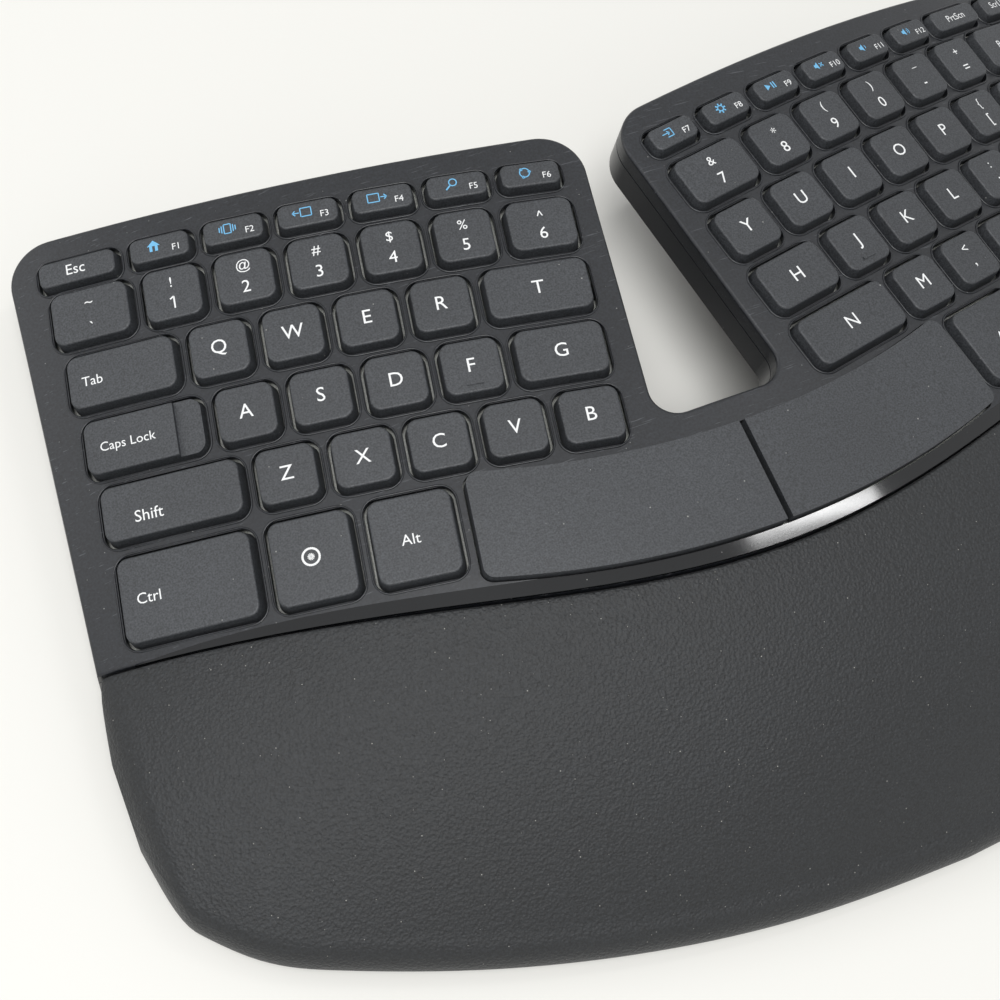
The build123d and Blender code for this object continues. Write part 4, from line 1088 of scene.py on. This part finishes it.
# %% [markdown]
# On the real caps a letter stands alone near the middle, and a digit or mark has its shifted mark above it.
# Capitals are 3.7 mm high, digits 3.3 mm and marks are set as if they were 2.7 mm high. Text in Blender is
# sized by its capitals, so one number serves tall and low marks alike. The digit one is drawn by strokes,
# because the built-in font shows it as a plain bar.

# %% Legends of the letter and number rows
LETTER = 3.7
DIGIT = 3.3
MARK = 2.7
LETTER_RISE = 0.3
LOWER_DROP, UPPER_RISE = 2.7, 3.0


def letter_row(half, first, row, letters):
    """Letters in the middle of a row of regular keys."""
    for place_in_row, letter in enumerate(letters):
        u = first + place_in_row * PITCH
        write("key_" + letter.lower(), half, u, row + LETTER_RISE, letter, LETTER)


def stacked(body, half, u, row, lower, upper):
    """A digit or mark with its shifted mark above it."""
    if lower == "1":
        points, faces = stroke([(-0.75, 1.0), (0.25, DIGIT / 2), (0.25, -DIGIT / 2)], 0.42)
        add_print(body, key_frame(half, u, row - LOWER_DROP), points, faces, WHITE)
    else:
        write(body, half, u, row - LOWER_DROP, lower, DIGIT)
    write(body, half, u, row + UPPER_RISE, upper, MARK)


letter_row(-1, FIRST_UPPER, UPPER, "QWER")
letter_row(-1, FIRST_HOME, HOME, "ASDF")
letter_row(-1, FIRST_SHIFT, SHIFT, "ZXCV")
letter_row(1, RIGHT_UPPER, UPPER, "UIOP")
letter_row(1, RIGHT_HOME, HOME, "JKL")
letter_row(1, RIGHT_SHIFT, SHIFT, "M")
for half, u, row, letter in (
    (-1, 91.6, UPPER, "T"),
    (-1, 93.6, HOME, "G"),
    (-1, 97.3, SHIFT, "B"),
    (1, -98.2, UPPER, "Y"),
    (1, -95.2, HOME, "H"),
    (1, -90.6, SHIFT, "N"),
):
    write("key_" + letter.lower(), half, u, row + LETTER_RISE, letter, LETTER)
for place_in_row, (digit, mark) in enumerate(zip("12345", "!@#$%")):
    stacked("number_keys_left", -1, place_in_row * PITCH, NUMBER, digit, mark)
stacked("number_keys_left", -1, 96.3, NUMBER, "6", "^")
stacked("number_keys_left", -1, -21.9, NUMBER, "`", "~")
stacked("number_keys_right", 1, -94.95, NUMBER, "7", "&")
for place_in_row, (digit, mark) in enumerate(zip("890-=", "*()_+")):
    stacked("number_keys_right", 1, RIGHT_NUMBER + place_in_row * PITCH, NUMBER, digit, mark)
for u, row, lower, upper in (
    (16.0, UPPER, "]", "}"),
    (-3.0, UPPER, "[", "{"),
    (36.9, UPPER, "\\", "|"),
    (-16.2, HOME, ";", ":"),
    (2.8, HOME, "'", '"'),
    (-45.0, SHIFT, ",", "<"),
    (-26.0, SHIFT, ".", ">"),
    (-7.0, SHIFT, "/", "?"),
):
    stacked("right_edge_keys", 1, u, row, lower, upper)

# %% [markdown]
# Words stand in the lower left of the wide keys on the left half and in the middle elsewhere. Each is set by
# its own width, as measured in the photograph or, where the photograph ends, as such keys have it.

# %% Words
for body, half, u, v, words, width in (
    ("function_keys_left", -1, -24.1, 13.4, "Esc", 5.0),
    ("tab_key", -1, -23.7, -18.3, "Tab", 5.4),
    ("caps_lock_key", -1, -16.8, -36.9, "Caps Lock", 14.4),
    ("left_shift_key", -1, -14.1, -56.4, "Shift", 7.3),
    ("left_control_key", -1, -17.1, -77.0, "Ctrl", 6.0),
    ("left_alt_key", -1, 47.8, -77.4, "Alt", 4.7),
    ("number_keys_right", 1, 29.5, 0.0, "Backspace", 14.5),
    ("right_edge_keys", 1, 33.0, -36.3, "Enter", 7.8),
    ("right_edge_keys", 1, 33.0, -54.5, "Shift", 7.3),
    ("right_modifier_keys", 1, -53.0, -77.4, "Alt", 4.7),
    ("right_modifier_keys", 1, 8.0, -77.4, "Ctrl", 6.0),
    ("function_keys_right", 1, 14.1, 13.7, "PrtScn", 8.0),
    ("function_keys_right", 1, 35.4, 13.5, "ScrLk", 7.0),
    ("function_keys_right", 1, 53.8, 13.3, "Pause", 7.0),
    ("navigation_keys", 1, INNER_COLUMN, NUMBER, "Home", 7.5),
    ("navigation_keys", 1, OUTER_COLUMN, NUMBER, "End", 5.2),
    ("navigation_keys", 1, INNER_COLUMN, UPPER, "Insert", 7.8),
    ("navigation_keys", 1, OUTER_COLUMN, UPPER, "PgUp", 7.0),
    ("navigation_keys", 1, INNER_COLUMN, HOME, "Delete", 8.0),
    ("navigation_keys", 1, OUTER_COLUMN, HOME, "PgDn", 7.0),
):
    write(body, half, u, v, words, width=width)
sign("left_system_key", -1, 23.5, -76.5, "system")
sign("right_modifier_keys", 1, -26.8, -76.5, "menu")
sign("navigation_keys", 1, INNER_COLUMN, SHIFT, "up")
sign("navigation_keys", 1, FIRST_ARROW, ARROWS, "left")
sign("navigation_keys", 1, INNER_COLUMN, ARROWS, "down")
sign("navigation_keys", 1, OUTER_COLUMN, ARROWS, "right")

# %% [markdown]
# Every small key at the top has a blue sign at its left and its number in white at its right. Both are
# placed from the key's left edge, so the list of names is all that the two halves need.

# %% Function row
FUNCTION_SIGNS = (
    ("function_keys_left", -1, 1, 6.3, 12.0, ("home", "panels", "to_left", "to_right", "look", "ring")),
    ("function_keys_right", 1, 7, 5.4, 10.9, ("enter", "wheel", "play", "mute", "quieter", "louder")),
)
FUNCTION_HEIGHT = 1.75
SIGN_RISE, FUNCTION_DROP = 0.5, 0.8
for body, half, first_number, sign_place, number_place, names in FUNCTION_SIGNS:
    start, pitch, width, row, lean = FUNCTION_ROWS[half]
    for k, name in enumerate(names):
        left = start + k * pitch
        v = function_row(half, left)
        number = "F" + str(first_number + k)
        sign(body, half, left + sign_place, v + SIGN_RISE, name, BLUE)
        write(body, half, left + number_place, v - FUNCTION_DROP, number, height=FUNCTION_HEIGHT)
print("the function row leans by", FUNCTION_ROWS[-1][4], "and", FUNCTION_ROWS[1][4], "of its length")

# %% [markdown]
# So far the print is only lists of points. Now each body gets one mesh with two materials, the white ink and
# the blue. Flat shapes from text may face down, so every face that does is turned to face up.

# %% Make the print
for body, (points, faces, inks) in prints.items():
    mesh = bpy.data.meshes.new("print_on_" + body)
    mesh.from_pydata([tuple(p) for p in points], [], faces)
    mesh.materials.append(white_ink)
    mesh.materials.append(blue_ink)
    mesh.polygons.foreach_set("material_index", inks)
    mesh.update()
    work = bmesh.new()
    work.from_mesh(mesh)
    down = [face for face in work.faces if face.normal.z < 0]
    bmesh.ops.reverse_faces(work, faces=down)
    work.to_mesh(mesh)
    work.free()
    piece = bpy.data.objects.new("print_on_" + body, mesh)
    bpy.context.scene.collection.objects.link(piece)
    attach(piece, body)
print("print pieces", len(prints))

# %% [markdown]
# The keyboard stands on a pale table. A large plane at the height of the feet is enough: it takes the shadow,
# and its colour, not stronger light, makes the background pale.

# %% Table
TABLE_REACH = 3.0
table_finish, tree, shader, place = new_material("pale_laminate_table", "#ECEBE6", 0.6)
shader.inputs["Specular IOR Level"].default_value = 0.2
mesh = bpy.data.meshes.new("table")
corners = [(x * TABLE_REACH, y * TABLE_REACH, 0) for x, y in ((-1, -1), (1, -1), (1, 1), (-1, 1))]
mesh.from_pydata(corners, [], [(0, 1, 2, 3)])
mesh.materials.append(table_finish)
table = bpy.data.objects.new("table", mesh)
bpy.context.scene.collection.objects.link(table)
print("table is", 2 * TABLE_REACH, "m wide")

# %% [markdown]
# The photograph was taken under soft ceiling light. One wide lamp stands in for the ceiling and a weaker one
# for a window. A narrow tube hangs beyond the far right corner and shines straight down: its mirror image is
# the bright streak on the trim. A lamp of Blender's AREA kind shines along its own -Z axis, so the other two
# are turned to look at the keyboard.

# %% Lamps
bpy.context.scene.view_settings.view_transform = "Standard"
KEYBOARD = (0, 0, 0)


def soft_lamp(name, spot, aim, size, power):
    """A wide square lamp that looks at a point."""
    data = bpy.data.lights.new(name, "AREA")
    data.shape = "RECTANGLE"
    data.size, data.size_y = size
    data.energy = power
    lamp = bpy.data.objects.new(name, data)
    bpy.context.scene.collection.objects.link(lamp)
    direction = (Vector(aim) - Vector(spot)).normalized()
    lamp.rotation_euler = direction.to_track_quat("-Z", "Y").to_euler()
    lamp.location = spot
    return lamp


soft_lamp("ceiling", (-0.58, -0.43, 2.2), KEYBOARD, (1.1, 1.1), 39.0)
soft_lamp("window", (-1.2, 1.0, 0.9), KEYBOARD, (0.9, 0.7), 3.0)
tube_lamp = soft_lamp("tube", (0.66, 0.305, 1.5), KEYBOARD, (0.45, 0.03), 1.2)
tube_lamp.rotation_euler = (0, 0, 0)
print("lamps", len(bpy.data.lights))

# %% [markdown]
# A pale sky fills the shadows. The camera and mirror reflections see it at full strength, so that the
# background stays pale, while it lights the object at less than half of that. The Light Path node tells
# which kind of ray asks.

# %% Sky
SKY_SHARE = 0.45
world = bpy.data.worlds.new("room")
world.use_nodes = True
bpy.context.scene.world = world
tree = world.node_tree
sky = tree.nodes["Background"]
sky.inputs["Color"].default_value = linear("#F6F7F8")
seen = add_node(tree, "ShaderNodeLightPath")
direct = add_node(
    tree,
    "ShaderNodeMath",
    {"operation": "MAXIMUM"},
    {0: seen.outputs["Is Camera Ray"], 1: seen.outputs["Is Glossy Ray"]},
)
either = add_node(
    tree,
    "ShaderNodeMath",
    {"operation": "MAXIMUM"},
    {0: direct.outputs["Value"], 1: seen.outputs["Is Transmission Ray"]},
)
power = add_node(
    tree, "ShaderNodeMapRange", inputs={"Value": either.outputs["Value"], "To Min": SKY_SHARE, "To Max": 1.0}
)
tree.links.new(power.outputs["Result"], sky.inputs["Strength"])
print("the sky lights the object at", SKY_SHARE, "of its strength")
